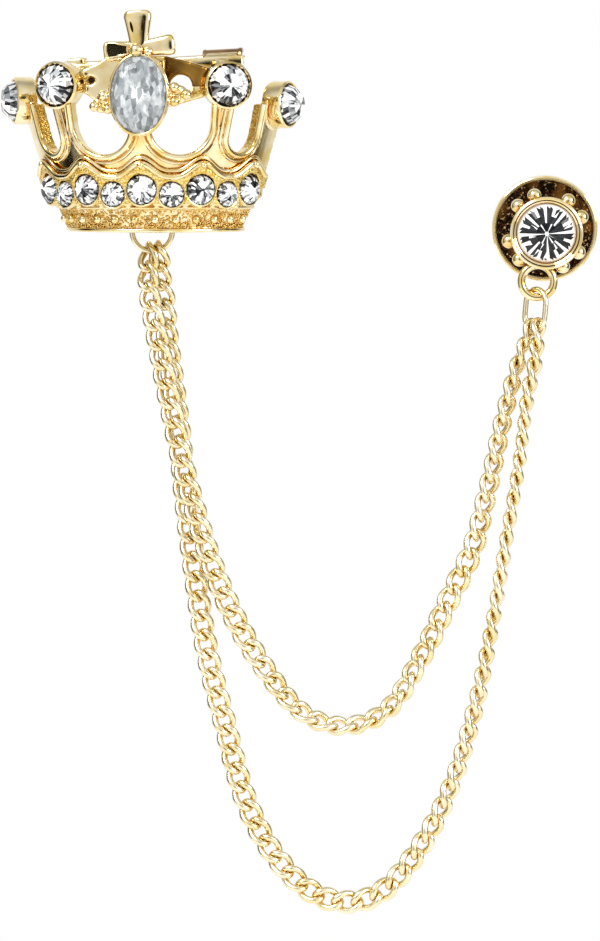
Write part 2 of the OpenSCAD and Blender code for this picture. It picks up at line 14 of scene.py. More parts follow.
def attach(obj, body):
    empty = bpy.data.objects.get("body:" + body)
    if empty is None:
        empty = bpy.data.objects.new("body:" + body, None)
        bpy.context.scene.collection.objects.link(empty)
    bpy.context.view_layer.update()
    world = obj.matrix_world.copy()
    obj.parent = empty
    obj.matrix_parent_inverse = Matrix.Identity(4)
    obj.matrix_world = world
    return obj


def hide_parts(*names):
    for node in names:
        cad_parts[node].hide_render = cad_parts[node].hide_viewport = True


# A lapel chain: a gold crown brooch and a beaded stud, joined by two draped curb chains.
# Shapes are modelled in millimetres, in the crown's or the stud's own axes, and then put
# in place in metres. X is right, Y is back into the cloth, Z is up.
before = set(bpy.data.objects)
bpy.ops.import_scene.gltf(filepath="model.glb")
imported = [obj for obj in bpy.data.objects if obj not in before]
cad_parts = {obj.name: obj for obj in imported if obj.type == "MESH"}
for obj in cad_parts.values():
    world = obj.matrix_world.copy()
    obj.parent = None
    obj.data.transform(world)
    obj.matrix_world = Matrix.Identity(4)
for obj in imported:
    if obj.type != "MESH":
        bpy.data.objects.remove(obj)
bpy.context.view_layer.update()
log = logging.getLogger("lapel_chain")

MM = 0.001
UP = Vector((0, 0, 1))
FRONT = Vector((0, -1, 0))
Path = list[Vector]
Rows = tuple[tuple[float, ...], ...]
Colour = tuple[float, float, float, float]
BMesh = bmesh.types.BMesh
BMVert = bmesh.types.BMVert
BMEdge = bmesh.types.BMEdge
Material = bpy.types.Material
NodeTree = bpy.types.NodeTree
Socket = bpy.types.NodeSocket


class Slot(Enum):
    """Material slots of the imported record."""

    GOLD = "gold"
    STONE = "clear_stone"


def linear(code: str) -> Colour:
    """Turns an sRGB hex code into a linear colour.

    Args:
        code: Six hex digits after a hash sign.

    Returns:
        Red, green, blue and an alpha of 1.
    """
    parts = [int(code[i : i + 2], 16) / 255 for i in (1, 3, 5)]
    red, green, blue = (c / 12.92 if c <= 0.04045 else ((c + 0.055) / 1.055) ** 2.4 for c in parts)
    return red, green, blue, 1.0


def add_node(
    tree: NodeTree,
    kind: str,
    settings: dict[str, object] | None = None,
    links: dict[str | int, Socket] | None = None,
) -> bpy.types.Node:
    """Adds one shader node.

    Args:
        tree: Node tree that gets the node.
        kind: Blender's identifier of the node, without its first words.
        settings: Values by name, for input sockets first and else for the node's own fields.
        links: Sources by the input socket they go to.

    Returns:
        The new node.
    """
    node = tree.nodes.new("ShaderNode" + kind)
    for name, value in (settings or {}).items():
        if name in node.inputs:
            node.inputs[name].default_value = value
        else:
            setattr(node, name, value)
    for socket, source in (links or {}).items():
        tree.links.new(source, node.inputs[socket])
    return node


def ramp(tree: NodeTree, source: Socket, stops: Sequence[tuple[float, str]]) -> Socket:
    """Adds a colour ramp.

    Args:
        tree: Node tree that gets the node.
        source: Number that it looks up.
        stops: Places and hex colours.

    Returns:
        The colour.
    """
    node = add_node(tree, "ValToRGB", links={"Fac": source})
    elements = node.color_ramp.elements
    while len(elements) > 1:
        elements.remove(elements[-1])
    elements[0].position, elements[0].color = stops[0][0], linear(stops[0][1])
    for place, code in stops[1:]:
        elements.new(place).color = linear(code)
    return node.outputs["Color"]


def mix_colours(tree: NodeTree, share: Socket, first: Socket | str, second: Socket | str) -> Socket:
    """Adds a mix of two colours.

    Args:
        tree: Node tree that gets the node.
        share: Share of the second colour.
        first: Source or hex code of the first colour.
        second: Source or hex code of the second colour.

    Returns:
        The mixed colour.
    """
    node = add_node(tree, "Mix", {"data_type": "RGBA"}, {0: share})
    for index, colour in ((6, first), (7, second)):
        if isinstance(colour, str):
            node.inputs[index].default_value = linear(colour)
        else:
            tree.links.new(colour, node.inputs[index])
    return node.outputs[2]


def new_material(name: str) -> tuple[Material, NodeTree, Socket]:
    """Makes an empty node material.

    Args:
        name: Name of the finish.

    Returns:
        The material, its node tree and the place on the object, in metres.
    """
    material = bpy.data.materials.new(name)
    material.use_nodes = True
    tree = material.node_tree
    tree.nodes.clear()
    return material, tree, add_node(tree, "TexCoord").outputs["Object"]


def add_surface(tree: NodeTree, settings: dict[str, object], links: dict[str | int, Socket]) -> None:
    """Adds the principled shader and the output that shows it.

    Args:
        tree: Node tree that gets the nodes.
        settings: The shader's numbers.
        links: Sources by the input socket they go to.
    """
    shader = add_node(tree, "BsdfPrincipled", settings, links)
    add_node(tree, "OutputMaterial", links={"Surface": shader.outputs["BSDF"]})


@dataclass(frozen=True)
class GoldPlate:
    """Gold plate over brass, tumbled bright.

    Polished plate mirrors the room with a warm cast. Painted shade: where metal faces metal, a
    deeper warm colour is painted in by an ambient occlusion mask. Painted highlight and shade: the
    crests of the ripple and of the grains are painted paler and their hollows darker. A slight
    ripple from casting or drawing bends those reflections, and grains make it sparkle.
    """

    name: str
    # Painted highlight and shade: the first colour on raised ripple and grains, the second in their
    # hollows, the third as shade where metal faces metal.
    crest: str = "#F6E9C2"
    recess: str = "#E6CC84"
    cavity_painted_shade: str = "#CC9630"
    cavity_mm: float = 1.1
    roughness: float = 0.1
    ripple_mm: float = 1.8
    ripple_depth_mm: float = 0.03
    grain_mm: float = 0.0
    grain_depth_mm: float = 0.0

    def material(self) -> Material:
        """Builds the plate's shader."""
        material, tree, where = new_material(self.name)
        ripple = add_node(
            tree, "TexNoise", {"Scale": 1 / (self.ripple_mm * MM), "Detail": 2.0, "Roughness": 0.45},
            {"Vector": where},
        ).outputs["Fac"]
        normal = add_node(
            tree, "Bump", {"Strength": 0.6, "Distance": self.ripple_depth_mm * MM}, {"Height": ripple}
        ).outputs["Normal"]
        shine = add_node(
            tree, "MapRange", {"To Min": self.roughness * 0.7, "To Max": self.roughness * 1.4},
            {"Value": ripple},
        )
        if self.grain_mm:
            cells = add_node(tree, "TexVoronoi", {"Scale": 1 / (self.grain_mm * MM)}, {"Vector": where})
            from_middle = cells.outputs["Distance"]
            # Painted highlight on each grain's middle, painted shade between the grains.
            tint = ramp(tree, from_middle, [(0.2, self.crest), (0.75, self.recess)])
            normal = add_node(
                tree, "Bump", {"Strength": 1.0, "Distance": self.grain_depth_mm * MM, "invert": True},
                {"Height": from_middle, "Normal": normal},
            ).outputs["Normal"]
        else:
            # Painted highlight on the ripple's crests, painted shade in its hollows.
            tint = ramp(tree, ripple, [(0.35, self.recess), (0.62, self.crest)])
        # Painted shade: an ambient occlusion mask paints the warm dark cavity colour where metal faces
        # metal.
        cavity = add_node(tree, "AmbientOcclusion", {"samples": 4, "Distance": self.cavity_mm * MM})
        open_share = ramp(tree, cavity.outputs["AO"], [(0.25, "#000000"), (0.8, "#FFFFFF")])
        add_surface(tree, {"Metallic": 1.0}, {
            "Base Color": mix_colours(tree, open_share, self.cavity_painted_shade, tint),
            "Roughness": shine.outputs["Result"],
            "Normal": normal,
        })
        return material


@dataclass(frozen=True)
class DarkDish:
    """Stamped dish of the clutch, oxidised nearly black, with painted glints and reflections.

    Its brown-black sheet gets bright specks painted on grains of the stamping, as glints where
    light would catch them, and warm gold patches painted as the stud's gold mirrored in the dish.
    """

    name: str = "oxidised_brass_painted_glints_reflections"
    ground: str = "#150C07"
    warm: str = "#6A3C12"
    # Painted glint colour, then the colour painted for the stud's gold mirrored in the dish.
    painted_glint: str = "#E2C592"
    painted_gold_reflection: str = "#C98A3C"
    grain_mm: float = 0.16
    grain_depth_mm: float = 0.03
    patch_mm: float = 2.6
    roughness: float = 0.36

    def material(self) -> Material:
        """Builds the dish's shader."""
        material, tree, where = new_material(self.name)
        cells = add_node(tree, "TexVoronoi", {"Scale": 1 / (self.grain_mm * MM)}, {"Vector": where})
        tone = add_node(tree, "SeparateColor", links={"Color": cells.outputs["Color"]})
        # Painted glints: the palest cells of the stamping's grain.
        colour = ramp(
            tree, tone.outputs["Red"],
            [(0.0, self.ground), (0.6, self.ground), (0.88, self.warm), (0.97, self.painted_glint)],
        )
        # Painted reflection: a noise mask picks warm gold patches for the stud's gold mirrored in the dish.
        patch = add_node(
            tree, "TexNoise", {"Scale": 1 / (self.patch_mm * MM), "Detail": 1.0}, {"Vector": where}
        )
        share = ramp(tree, patch.outputs["Fac"], [(0.56, "#000000"), (0.72, "#B8B8B8")])
        bump = add_node(
            tree, "Bump", {"Strength": 0.7, "Distance": self.grain_depth_mm * MM},
            {"Height": cells.outputs["Distance"]},
        )
        add_surface(tree, {"Metallic": 0.85, "Roughness": self.roughness}, {
            "Base Color": mix_colours(tree, share, colour, self.painted_gold_reflection), "Normal": bump.outputs["Normal"],
        })
        return material


@dataclass(frozen=True)
class FoiledCrystal:
    """Clear cut glass over silver foil.

    Painted reflections: each facet is painted black or white, for the lights or the dark of the
    room that it would throw back, so black and white facets lie side by side under one glassy skin.
    """

    name: str
    stops: tuple[tuple[float, str], ...]
    crackle_mm: float = 0.0
    crackle_squash: tuple[float, float, float] = (1.0, 1.0, 0.45)
    crackle_share: float = 0.6

    def material(self) -> Material:
        """Builds the stone's shader from the facets' painted reflection tones."""
        material, tree, where = new_material(self.name)
        # Painted reflections: each facet's tone, set when the stone is modelled.
        tone = add_node(tree, "Attribute", {"attribute_name": "painted_reflection_tone"}).outputs["Fac"]
        if self.crackle_mm:
            tall = add_node(tree, "VectorMath", {"operation": "MULTIPLY"}, {0: where})
            tall.inputs[1].default_value = self.crackle_squash
            cells = add_node(
                tree, "TexVoronoi", {"Scale": 1 / (self.crackle_mm * MM)}, {"Vector": tall.outputs[0]}
            )
            split = add_node(tree, "SeparateColor", links={"Color": cells.outputs["Color"]})
            tone = add_node(
                tree, "Mix", {"Factor": self.crackle_share}, {"A": tone, "B": split.outputs["Green"]}
            ).outputs["Result"]
        add_surface(
            tree,
            {"Roughness": 0.1, "Specular IOR Level": 0.1, "Coat Weight": 0.45, "Coat Roughness": 0.02,
             "Coat IOR": 1.52},
            {"Base Color": ramp(tree, tone, self.stops)},
        )
        return material


@dataclass(frozen=True)
class PaintedFloor:
    """Pale matt studio floor. It keeps the light even from below."""

    name: str = "matt_white_paint"
    shade: str = "#F4F3F0"
    light: str = "#FAF9F7"
    mottle_mm: float = 60.0

    def material(self) -> Material:
        """Builds the floor's shader."""
        material, tree, where = new_material(self.name)
        mottle = add_node(tree, "TexNoise", {"Scale": 1 / (self.mottle_mm * MM)}, {"Vector": where})
        shade = ramp(tree, mottle.outputs["Fac"], [(0.3, self.shade), (0.7, self.light)])
        add_surface(tree, {"Roughness": 0.7}, {"Base Color": shade})
        return material


class Finish(Enum):
    """The pieces' finishes, each named for its real material."""

    # Mirror-bright plate, which carries the room's pale walls and the dark gap between them.
    POLISHED = GoldPlate("polished_gold_plate")
    # Softer and paler shine of drawn wire, which keeps the strands light.
    WIRE = GoldPlate(
        "drawn_gold_wire", crest="#F2E7CA", recess="#E9D9AA", cavity_painted_shade="#DCBA66", ripple_mm=3.0,
        ripple_depth_mm=0.004, roughness=0.22,
    )
    # Sparkling sandy ground, against which the smooth metal looks smoother.
    GRANULATED = GoldPlate(
        "granulated_gold_plate", crest="#FCEAA4", recess="#D8AC44", roughness=0.24, grain_mm=0.26,
        grain_depth_mm=0.07,
    )
    # Painted shade: nearly black, laid in the cross's slots and the bridge's pit where only shade falls, so
    # they look deep.
    RECESS = GoldPlate(
        "painted_shade_recess", crest="#3A2810", recess="#160E06", cavity_painted_shade="#160E06", roughness=0.35
    )
    # Painted shade: brown on the bridge beside the oval stone, standing in for the dark side of the room
    # that it mirrors.
    SHADED = GoldPlate(
        "shaded_gold_plate", crest="#A8803C", recess="#3A240C", cavity_painted_shade="#C07A18", roughness=0.2,
        ripple_mm=3.2,
    )
    # Painted reflection: rosy brown on the catch's sheet, darker than the casting, for the dark bands the
    # tube mirrors; duller than the casting.
    ROLLED = GoldPlate(
        "rolled_gold_painted_reflection", crest="#AE8C68", recess="#5C402A", cavity_painted_shade="#8A4C18", roughness=0.16,
        ripple_mm=4.0,
    )
    DISH = DarkDish()
    # Round stones, painted reflections from black to white.
    RHINESTONE = FoiledCrystal(
        "foiled_clear_glass",
        ((0.0, "#060606"), (0.22, "#2C2F33"), (0.45, "#8F9397"), (0.68, "#E6E9EB"), (1.0, "#FFFFFF")),
    )
    # Oval stone, whose pale grey shards lie round a painted white highlight in its middle.
    CRACKLED = FoiledCrystal(
        "crackled_clear_glass",
        ((0.0, "#565A5C"), (0.3, "#81878A"), (0.52, "#9FA5A8"), (0.75, "#C6CACC"), (0.95, "#FFFFFF")),
        crackle_mm=0.42,
    )

    @property
    def slot(self) -> Slot:
        """The record's slot that the finish belongs to."""
        return Slot.STONE if isinstance(self.value, FoiledCrystal) else Slot.GOLD

    def material(self) -> Material:
        """The finish's material, made when it is first asked for."""
        return bpy.data.materials.get(self.value.name) or self.value.material()


def frame_at(place: Vector, along: Vector, up: Vector = UP) -> Matrix:
    """Axes at a place, with Z along a direction.

    Args:
        place: Origin of the axes.
        along: Direction of Z.
        up: Direction that Y leans toward.

    Returns:
        A 4 by 4 matrix.
    """
    forward = along.normalized()
    side = up.cross(forward)
    if side.length < 1e-6:
        side = Vector((1, 0, 0)).cross(forward)
    side.normalize()
    top = forward.cross(side)
    matrix = Matrix((side, top, forward)).transposed().to_4x4()
    matrix.translation = place
    return matrix


def circle(bm: BMesh, sides: int, matrix: Matrix = Matrix.Identity(4)) -> tuple[list[BMVert], list[BMEdge]]:
    """Adds an open ring of radius 1.

    Args:
        bm: Mesh that gets the ring.
        sides: Its sides.
        matrix: Axes of the ring.

    Returns:
        Its corners and edges.
    """
    ring = bmesh.ops.create_circle(bm, segments=sides, radius=1, matrix=matrix)["verts"]
    return ring, list(dict.fromkeys(e for v in ring for e in v.link_edges))


def extrude_ring(bm: BMesh, edges: list[BMEdge]) -> tuple[list[BMVert], list[BMEdge]]:
    """Extrudes a ring of edges, in place.

    Args:
        bm: Mesh that has the ring.
        edges: The ring.

    Returns:
        Corners and edges of the new ring.
    """
    grown = bmesh.ops.extrude_edge_only(bm, edges=edges)["geom"]
    verts = [g for g in grown if isinstance(g, BMVert)]
    new = set(verts)
    return verts, [g for g in grown if isinstance(g, BMEdge) and new.issuperset(g.verts)]


def tube(
    bm: BMesh,
    path: Path,
    radius: float | Sequence[float],
    sides: int = 12,
    closed: bool = False,
    flatten: float | Sequence[float] = 1.0,
    up: Vector = UP,
    squareness: float = 2.0,
) -> None:
    """Sweeps a round or squarish wire along a path.

    Args:
        bm: Mesh that gets the wire.
        path: Points of its centre line.
        radius: Wire radius, one for all or one for each point.
        sides: Sides of its section.
        closed: Whether the last point joins the first.
        flatten: Thickness toward `up` as a share of the radius, one for all or one for each.
        up: Direction that the section's height leans toward.
        squareness: 2 for a round section, and more for a squarer one.
    """
    count = len(path)
    radii = list(radius) if isinstance(radius, Sequence) else [radius] * count
    flats = list(flatten) if isinstance(flatten, Sequence) else [flatten] * count
    frames: list[Matrix] = []
    for i, place in enumerate(path):
        before = path[i - 1] if closed or i > 0 else path[0]
        after = path[(i + 1) % count] if closed or i < count - 1 else path[-1]
        scale = Matrix.Diagonal((radii[i], radii[i] * flats[i], 1, 1))
        frames.append(frame_at(place, after - before, up) @ scale)
    ring, first = circle(bm, sides)
    for vert in ring:
        x, y = (math.copysign(abs(c) ** (2 / squareness), c) for c in vert.co.xy)
        vert.co = frames[0] @ Vector((x, y, 0))
    edges = first
    for here, there in zip(frames, frames[1:]):
        verts, edges = extrude_ring(bm, edges)
        bmesh.ops.transform(bm, matrix=there @ here.inverted(), verts=verts)
    if closed:
        bmesh.ops.bridge_loops(bm, edges=first + edges)
    else:
        for end in (first, edges):
            bmesh.ops.edgeloop_fill(bm, edges=end)


def lathe(
    bm: BMesh,
    outline: Sequence[tuple[float, float]],
    matrix: Matrix = Matrix.Identity(4),
    steps: int = 48,
    closed: bool = True,
    angle: float = math.tau,
) -> None:
    """Turns an outline about the matrix's Z axis.

    Args:
        bm: Mesh that gets the shape.
        outline: Radius and height of each point.
        matrix: Axes of the lathe, without scale.
        steps: Steps of the turn.
        closed: Whether the outline's last point joins its first.
        angle: Angle of the turn, counted from the matrix's X.
    """
    verts = [bm.verts.new(matrix @ Vector((r, 0, z))) for r, z in outline]
    pairs = list(zip(verts, verts[1:])) + ([(verts[-1], verts[0])] if closed else [])
    edges = [bm.edges.new(pair) for pair in pairs]
    full = abs(angle - math.tau) < 1e-6
    last = bmesh.ops.spin(
        bm, geom=verts + edges, cent=matrix.translation, axis=matrix.col[2].to_3d(), angle=angle,
        steps=steps, use_merge=full, use_normal_flip=False, use_duplicate=False,
    )["geom_last"]
    if closed and not full:
        for end in (edges, [g for g in last if isinstance(g, BMEdge)]):
            bmesh.ops.edgeloop_fill(bm, edges=end)


def ball(bm: BMesh, place: Vector, radius: float, sides: int = 20) -> None:
    """Adds a bead.

    Args:
        bm: Mesh that gets the bead.
        place: Its centre.
        radius: Its radius.
        sides: Sides round its equator.
    """
    bmesh.ops.create_uvsphere(
        bm, u_segments=sides, v_segments=max(4, sides // 2), radius=radius,
        matrix=Matrix.Translation(place),
    )


def loose_parts(bm: BMesh) -> list[list[BMVert]]:
    """Groups a mesh's corners by the loose part that they belong to.

    Args:
        bm: The mesh.

    Returns:
        The corners of each part, in an order that is the same on each run.
    """
    seen: set[BMVert] = set()
    parts = []
    for start in bm.verts:
        if start in seen:
            continue
        seen.add(start)
        part = [start]
        for vert in part:
            for edge in vert.link_edges:
                near = edge.other_vert(vert)
                if near not in seen:
                    seen.add(near)
                    part.append(near)
        parts.append(part)
    return parts


def arc(centre: Vector, x: Vector, y: Vector, count: int, start: float = 0.0, end: float = 360.0) -> Path:
    """Points of an arc or a whole oval, in a plane given by two axes.

    Args:
        centre: Centre of the arc.
        x: Radius along the arc's X.
        y: Radius along the arc's Y.
        count: Number of steps.
        start: First angle, in degrees.
        end: Last angle, in degrees.

    Returns:
        The points in order, with both ends; a whole oval's start comes once.
    """
    angles = [math.radians(start + (end - start) * i / count) for i in range(count + 1)]
    points = [centre + x * math.cos(t) + y * math.sin(t) for t in angles]
    return points if end - start < 360 else points[:-1]


def link_object(name: str, data: bpy.types.ID) -> bpy.types.Object:
    """Makes an object and puts it in the scene.

    Args:
        name: Its name.
        data: Its mesh, lamp or camera.

    Returns:
        The object, at the origin.
    """
    made = bpy.data.objects.new(name, data)
    bpy.context.scene.collection.objects.link(made)
    return made


def to_mesh(name: str, bm: BMesh) -> bpy.types.Mesh:
    """Turns a modelled mesh into one for an object.

    Args:
        name: The mesh's name.
        bm: What was modelled, which is freed.

    Returns:
        The mesh.
    """
    mesh = bpy.data.meshes.new(name)
    bm.to_mesh(mesh)
    bm.free()
    return mesh


def merged_copy(node: str) -> BMesh:
    """Copies a CAD node's mesh with its corners merged.

    Args:
        node: The node's name.

    Returns:
        The copy, in the frame's metres.
    """
    bm = bmesh.new()
    bm.from_mesh(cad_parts[node].data)
    bmesh.ops.remove_doubles(bm, verts=bm.verts, dist=1e-6)
    return bm


def finish_piece(
    name: str,
    bm: BMesh,
    matrix: Matrix,
    finish: Finish = Finish.POLISHED,
    body: str = "brooch",
    replaces: Sequence[str] = (),
    sharp_deg: float = 35.0,
    recalc: bool = True,
    regions: Sequence[Finish] = (),
) -> None:
    """Puts a modelled mesh in place as a piece of the object.

    Args:
        name: The piece's name.
        bm: Its mesh in millimetres, which is freed.
        matrix: From the mesh's axes to the frame's, in metres.
        finish: Its finish.
        body: Body that it rides on.
        replaces: CAD nodes that it stands for.
        sharp_deg: Edges sharper than this stay sharp; 0 leaves every facet flat.
        recalc: Whether to make the faces point outwards again.
        regions: The casting's other finishes, for its hollow side and its shaded bridge.
    """
    bmesh.ops.transform(bm, matrix=matrix, verts=bm.verts)
    if recalc:
        bmesh.ops.recalc_face_normals(bm, faces=bm.faces)
    mesh = to_mesh(name, bm)
    mesh.polygons.foreach_set("use_smooth", [sharp_deg > 0] * len(mesh.polygons))
    if sharp_deg > 0:
        mesh.set_sharp_from_angle(angle=math.radians(sharp_deg))
    for each in (finish, *regions):
        mesh.materials.append(each.material())
    if regions:
        mesh.polygons.foreach_set("material_index", PLAN.regions(mesh).astype(np.int32))
    piece = link_object(name, mesh)
    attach(piece, body)
    if replaces:
        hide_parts(*replaces)
    log.info("%s: %d faces on %s", name, len(mesh.polygons), body)


def between(values: np.ndarray, limits: tuple[float, float]) -> np.ndarray:
    """Tells which values lie between two limits.

    Args:
        values: The values.
        limits: The lower and the upper limit.

    Returns:
        True or false for each value.
    """
    return (values > limits[0]) & (values < limits[1])


@dataclass(frozen=True)
class CrownPlan:
    """Where things sit on the crown: an arc in plan and a wall that leans outward."""

    radius: float = 11.65
    front: float = 9.4
    turn_deg: float = 7.0
    drop: float = 17.6
    lean: float = 0.3
    lean_from: float = 4.4
    half_angle: float = 75.0
    row_pitch: float = 2.92
    pin_rise_deg: float = 3.0
    spike_from_deg: float = 50.0
    spike_heights: tuple[float, float] = (8.6, 13.6)
    bridge_reach: tuple[float, float] = (2.2, 7.4)
    bridge_depth: tuple[float, float] = (-8.9, -7.4)
    bridge_foot: float = 14.9
    gallery_end_deg: float = 76.0
    gallery_heights: tuple[float, float] = (2.9, 6.6)

    @property
    def matrix(self) -> Matrix:
        """From the crown's millimetres to the frame's metres."""
        return (
            Matrix.Scale(MM, 4)
            @ Matrix.Rotation(-math.radians(self.turn_deg), 4, "Z")
            @ Matrix.Translation((0, 0, -self.drop))
        )

    @property
    def pin(self) -> Matrix:
        """From the pin's millimetres to the frame's metres: X along the pin, from its middle."""
        return (
            self.matrix
            @ Matrix.Translation((0, 0, self.drop))
            @ Matrix.Rotation(-math.radians(self.pin_rise_deg), 4, "Y")
        )

    @property
    def centre(self) -> Vector:
        """Centre of the plan's arc."""
        return Vector((0, self.radius - self.front, 0))

    def angle_at(self, distance: float) -> float:
        """Plan angle at a distance along the stone row."""
        return math.degrees(distance / self.radius)

    def wall_at(self, height: float) -> float:
        """Outward offset of the leaning wall's face at a height."""
        return (height - self.lean_from) * self.lean

    def point(self, angle_deg: float, offset: float, height: float) -> Vector:
        """Place at a plan angle, an outward offset from the row's arc and a height."""
        a = math.radians(angle_deg)
        outward = Vector((math.sin(a), -math.cos(a), 0))
        return self.centre + outward * (self.radius + offset) + Vector((0, 0, height))

    def on_wall(self, angle_deg: float, height: float, proud: float = 0.0) -> Vector:
        """Place on the leaning wall's face."""
        return self.point(angle_deg, self.wall_at(height) + proud, height)

    def face(self, angle_deg: float, offset: float, height: float, facing_deg: float) -> Matrix:
        """Axes at a place on the crown: Z out at the facing angle, Y up."""
        a = math.radians(facing_deg)
        return frame_at(self.point(angle_deg, offset, height), Vector((math.sin(a), -math.cos(a), 0)))

    def regions(self, mesh: bpy.types.Mesh) -> np.ndarray:
        """Tells the casting's granular hollow side and its shaded bridge from the rest.

        Args:
            mesh: The casting, in the frame's metres.

        Returns:
            For each face 1 where it looks inward, is a cut side of an outer spike or lies round
            the stone row, 2 on the bridge beside the oval stone and 0 elsewhere.
        """
        count = len(mesh.polygons)
        normals, centres = np.empty(3 * count), np.empty(3 * count)
        mesh.polygons.foreach_get("normal", normals)
        mesh.polygons.foreach_get("center", centres)
        back = np.array(self.matrix.inverted())
        places = centres.reshape(-1, 3) @ back[:3, :3].T + back[:3, 3] - np.array(self.centre)
        turned = normals.reshape(-1, 3) @ back[:3, :3].T * MM
        height, depth = places[:, 2], places[:, 1] + self.centre.y
        radius = np.hypot(places[:, 0], places[:, 1])
        outward = (turned[:, :2] * places[:, :2]).sum(1) / radius
        angle = np.degrees(np.arctan2(np.abs(places[:, 0]), -places[:, 1]))
        spike = (angle > self.spike_from_deg) & between(height, self.spike_heights) & (outward < 0.5)
        bridge = between(places[:, 0], self.bridge_reach) & between(depth, self.bridge_depth)
        # Painted shade: bridge faces turned toward the viewer get the brown shaded finish.
        shaded = bridge & (height > self.bridge_foot) & (turned[:, 1] < -0.4)
        gallery = between(height, self.gallery_heights) & (outward > 0.2) & (angle < self.gallery_end_deg)
        return np.where(shaded, 2, (outward < -0.45) | spike | gallery)


PLAN = CrownPlan()


class Tone(Enum):
    """Patterns of painted reflections: bright and dark facets."""

    STAR = "star"
    SPOKES = "spokes"
    ICE = "ice"


@dataclass
class CutStone:
    """A faceted stone: girdle, rows of crown facets and a table split by what shows through it, each facet
    painted bright or dark as a reflection.
    """

    node: str
    place: Matrix
    width: float
    height: float
    rise: float
    seed: int
    tone: Tone = Tone.STAR
    finish: Finish = Finish.RHINESTONE
    girdle: float = 0.25
    rings: Rows = ((0.93, 0.25), (0.8, 0.6), (0.56, 0.93), (0.3, 1.0), (0.1, 1.02))
    sides: int = 32
    middle_share: float = 0.01
    wedge_tones: tuple[float, ...] = (0.95, 0.78, 0.6, 0.42, 0.2, 0.02)
    wedge_shares: tuple[int, ...] = (30, 17, 14, 13, 12, 14)

    def painted_reflection_tone(self, share: float, turn: float, wedges: list[float], dice: random.Random) -> float:
        """Painted reflection: brightness of one facet.

        Args:
            share: Its distance from the middle, 1 at the girdle.
            turn: Its place round the stone, 0 to 1.
            wedges: Brightness of the stone's wedges.
            dice: Source of its chance part.

        Returns:
            From 0 for black to 1 for white.
        """
        index = int(turn * self.sides)
        if self.tone is Tone.ICE:
            # Painted highlight: the middle facets are white; painted shade darkens the rest toward the
            # edge.
            return 1.0 if share < 0.22 else 0.55 - 0.3 * share + dice.uniform(-0.25, 0.25)
        if self.tone is Tone.SPOKES:
            if share > 0.87:
                return dice.uniform(0.72, 0.95)
            period = 3 if share > 0.6 else (6 if share > 0.36 else 8)
            bright = index % period == 0 or dice.random() < 0.05
            return dice.uniform(0.8, 1.0) if bright else dice.uniform(0.0, 0.24)
        if share > 0.95:
            return dice.uniform(0.0, 0.35)
        if share > 0.57:
            return 0.75 * wedges[index] + dice.choice((-0.2, 0.0, 0.25, 0.25))
        return min(1.0, max(0.0, wedges[index // 4 * 4] + dice.uniform(-0.3, 0.3)))

    def shape(self) -> BMesh:
        """Grows the stone ring by ring from its flat back to its table."""
        bm = bmesh.new()
        scale = Matrix.Diagonal((self.width / 2, self.height / 2, 1, 1))
        half_step = scale @ Matrix.Rotation(math.pi / self.sides, 4, "Z") @ scale.inverted()
        _, edges = circle(bm, self.sides, scale @ Matrix.Translation((0, 0, -self.girdle)))
        bmesh.ops.edgeloop_fill(bm, edges=edges)
        steps = [(1.0, 0.0)] + [(share, self.rise * up) for share, up in self.rings]
        share_before, level_before = 1.0, -self.girdle
        for ring, (share, level) in enumerate(steps):
            verts, edges = extrude_ring(bm, edges)
            ratio = share / share_before
            bmesh.ops.scale(bm, vec=(ratio, ratio, 1), verts=verts)
            bmesh.ops.translate(bm, vec=(0, 0, level - level_before), verts=verts)
            if ring in (2, 3) and self.tone is not Tone.SPOKES:
                bmesh.ops.transform(bm, matrix=half_step, verts=verts)
            share_before, level_before = share, level
        bmesh.ops.edgeloop_fill(bm, edges=edges)
        bmesh.ops.triangulate(bm, faces=[f for f in bm.faces if len(f.verts) == 4])
        return bm

    def build(self) -> None:
        """Models the stone in its seat, in place of its CAD node, and gives each facet its painted
        reflection tone.
        """
        bm = self.shape()
        dice = random.Random(self.seed)
        wedges = dice.choices(self.wedge_tones, self.wedge_shares, k=self.sides)
        tones = bm.faces.layers.float.new("painted_reflection_tone")
        # The operators leave the facets in another order on each run, so they are sorted by place.
        for face in sorted(bm.faces, key=lambda f: f.calc_center_median().zxy[:]):
            middle = face.calc_center_median()
            x, y = middle.x / self.width * 2, middle.y / self.height * 2
            share = math.hypot(x, y)
            turn = math.atan2(y, x) / math.tau % 1.0 if share > self.middle_share else 0.0
            face[tones] = self.painted_reflection_tone(share, turn, wedges, dice)
        name = self.node.replace("stone", "crystal")
        finish_piece(name, bm, self.place, self.finish, replaces=[self.node], sharp_deg=0)


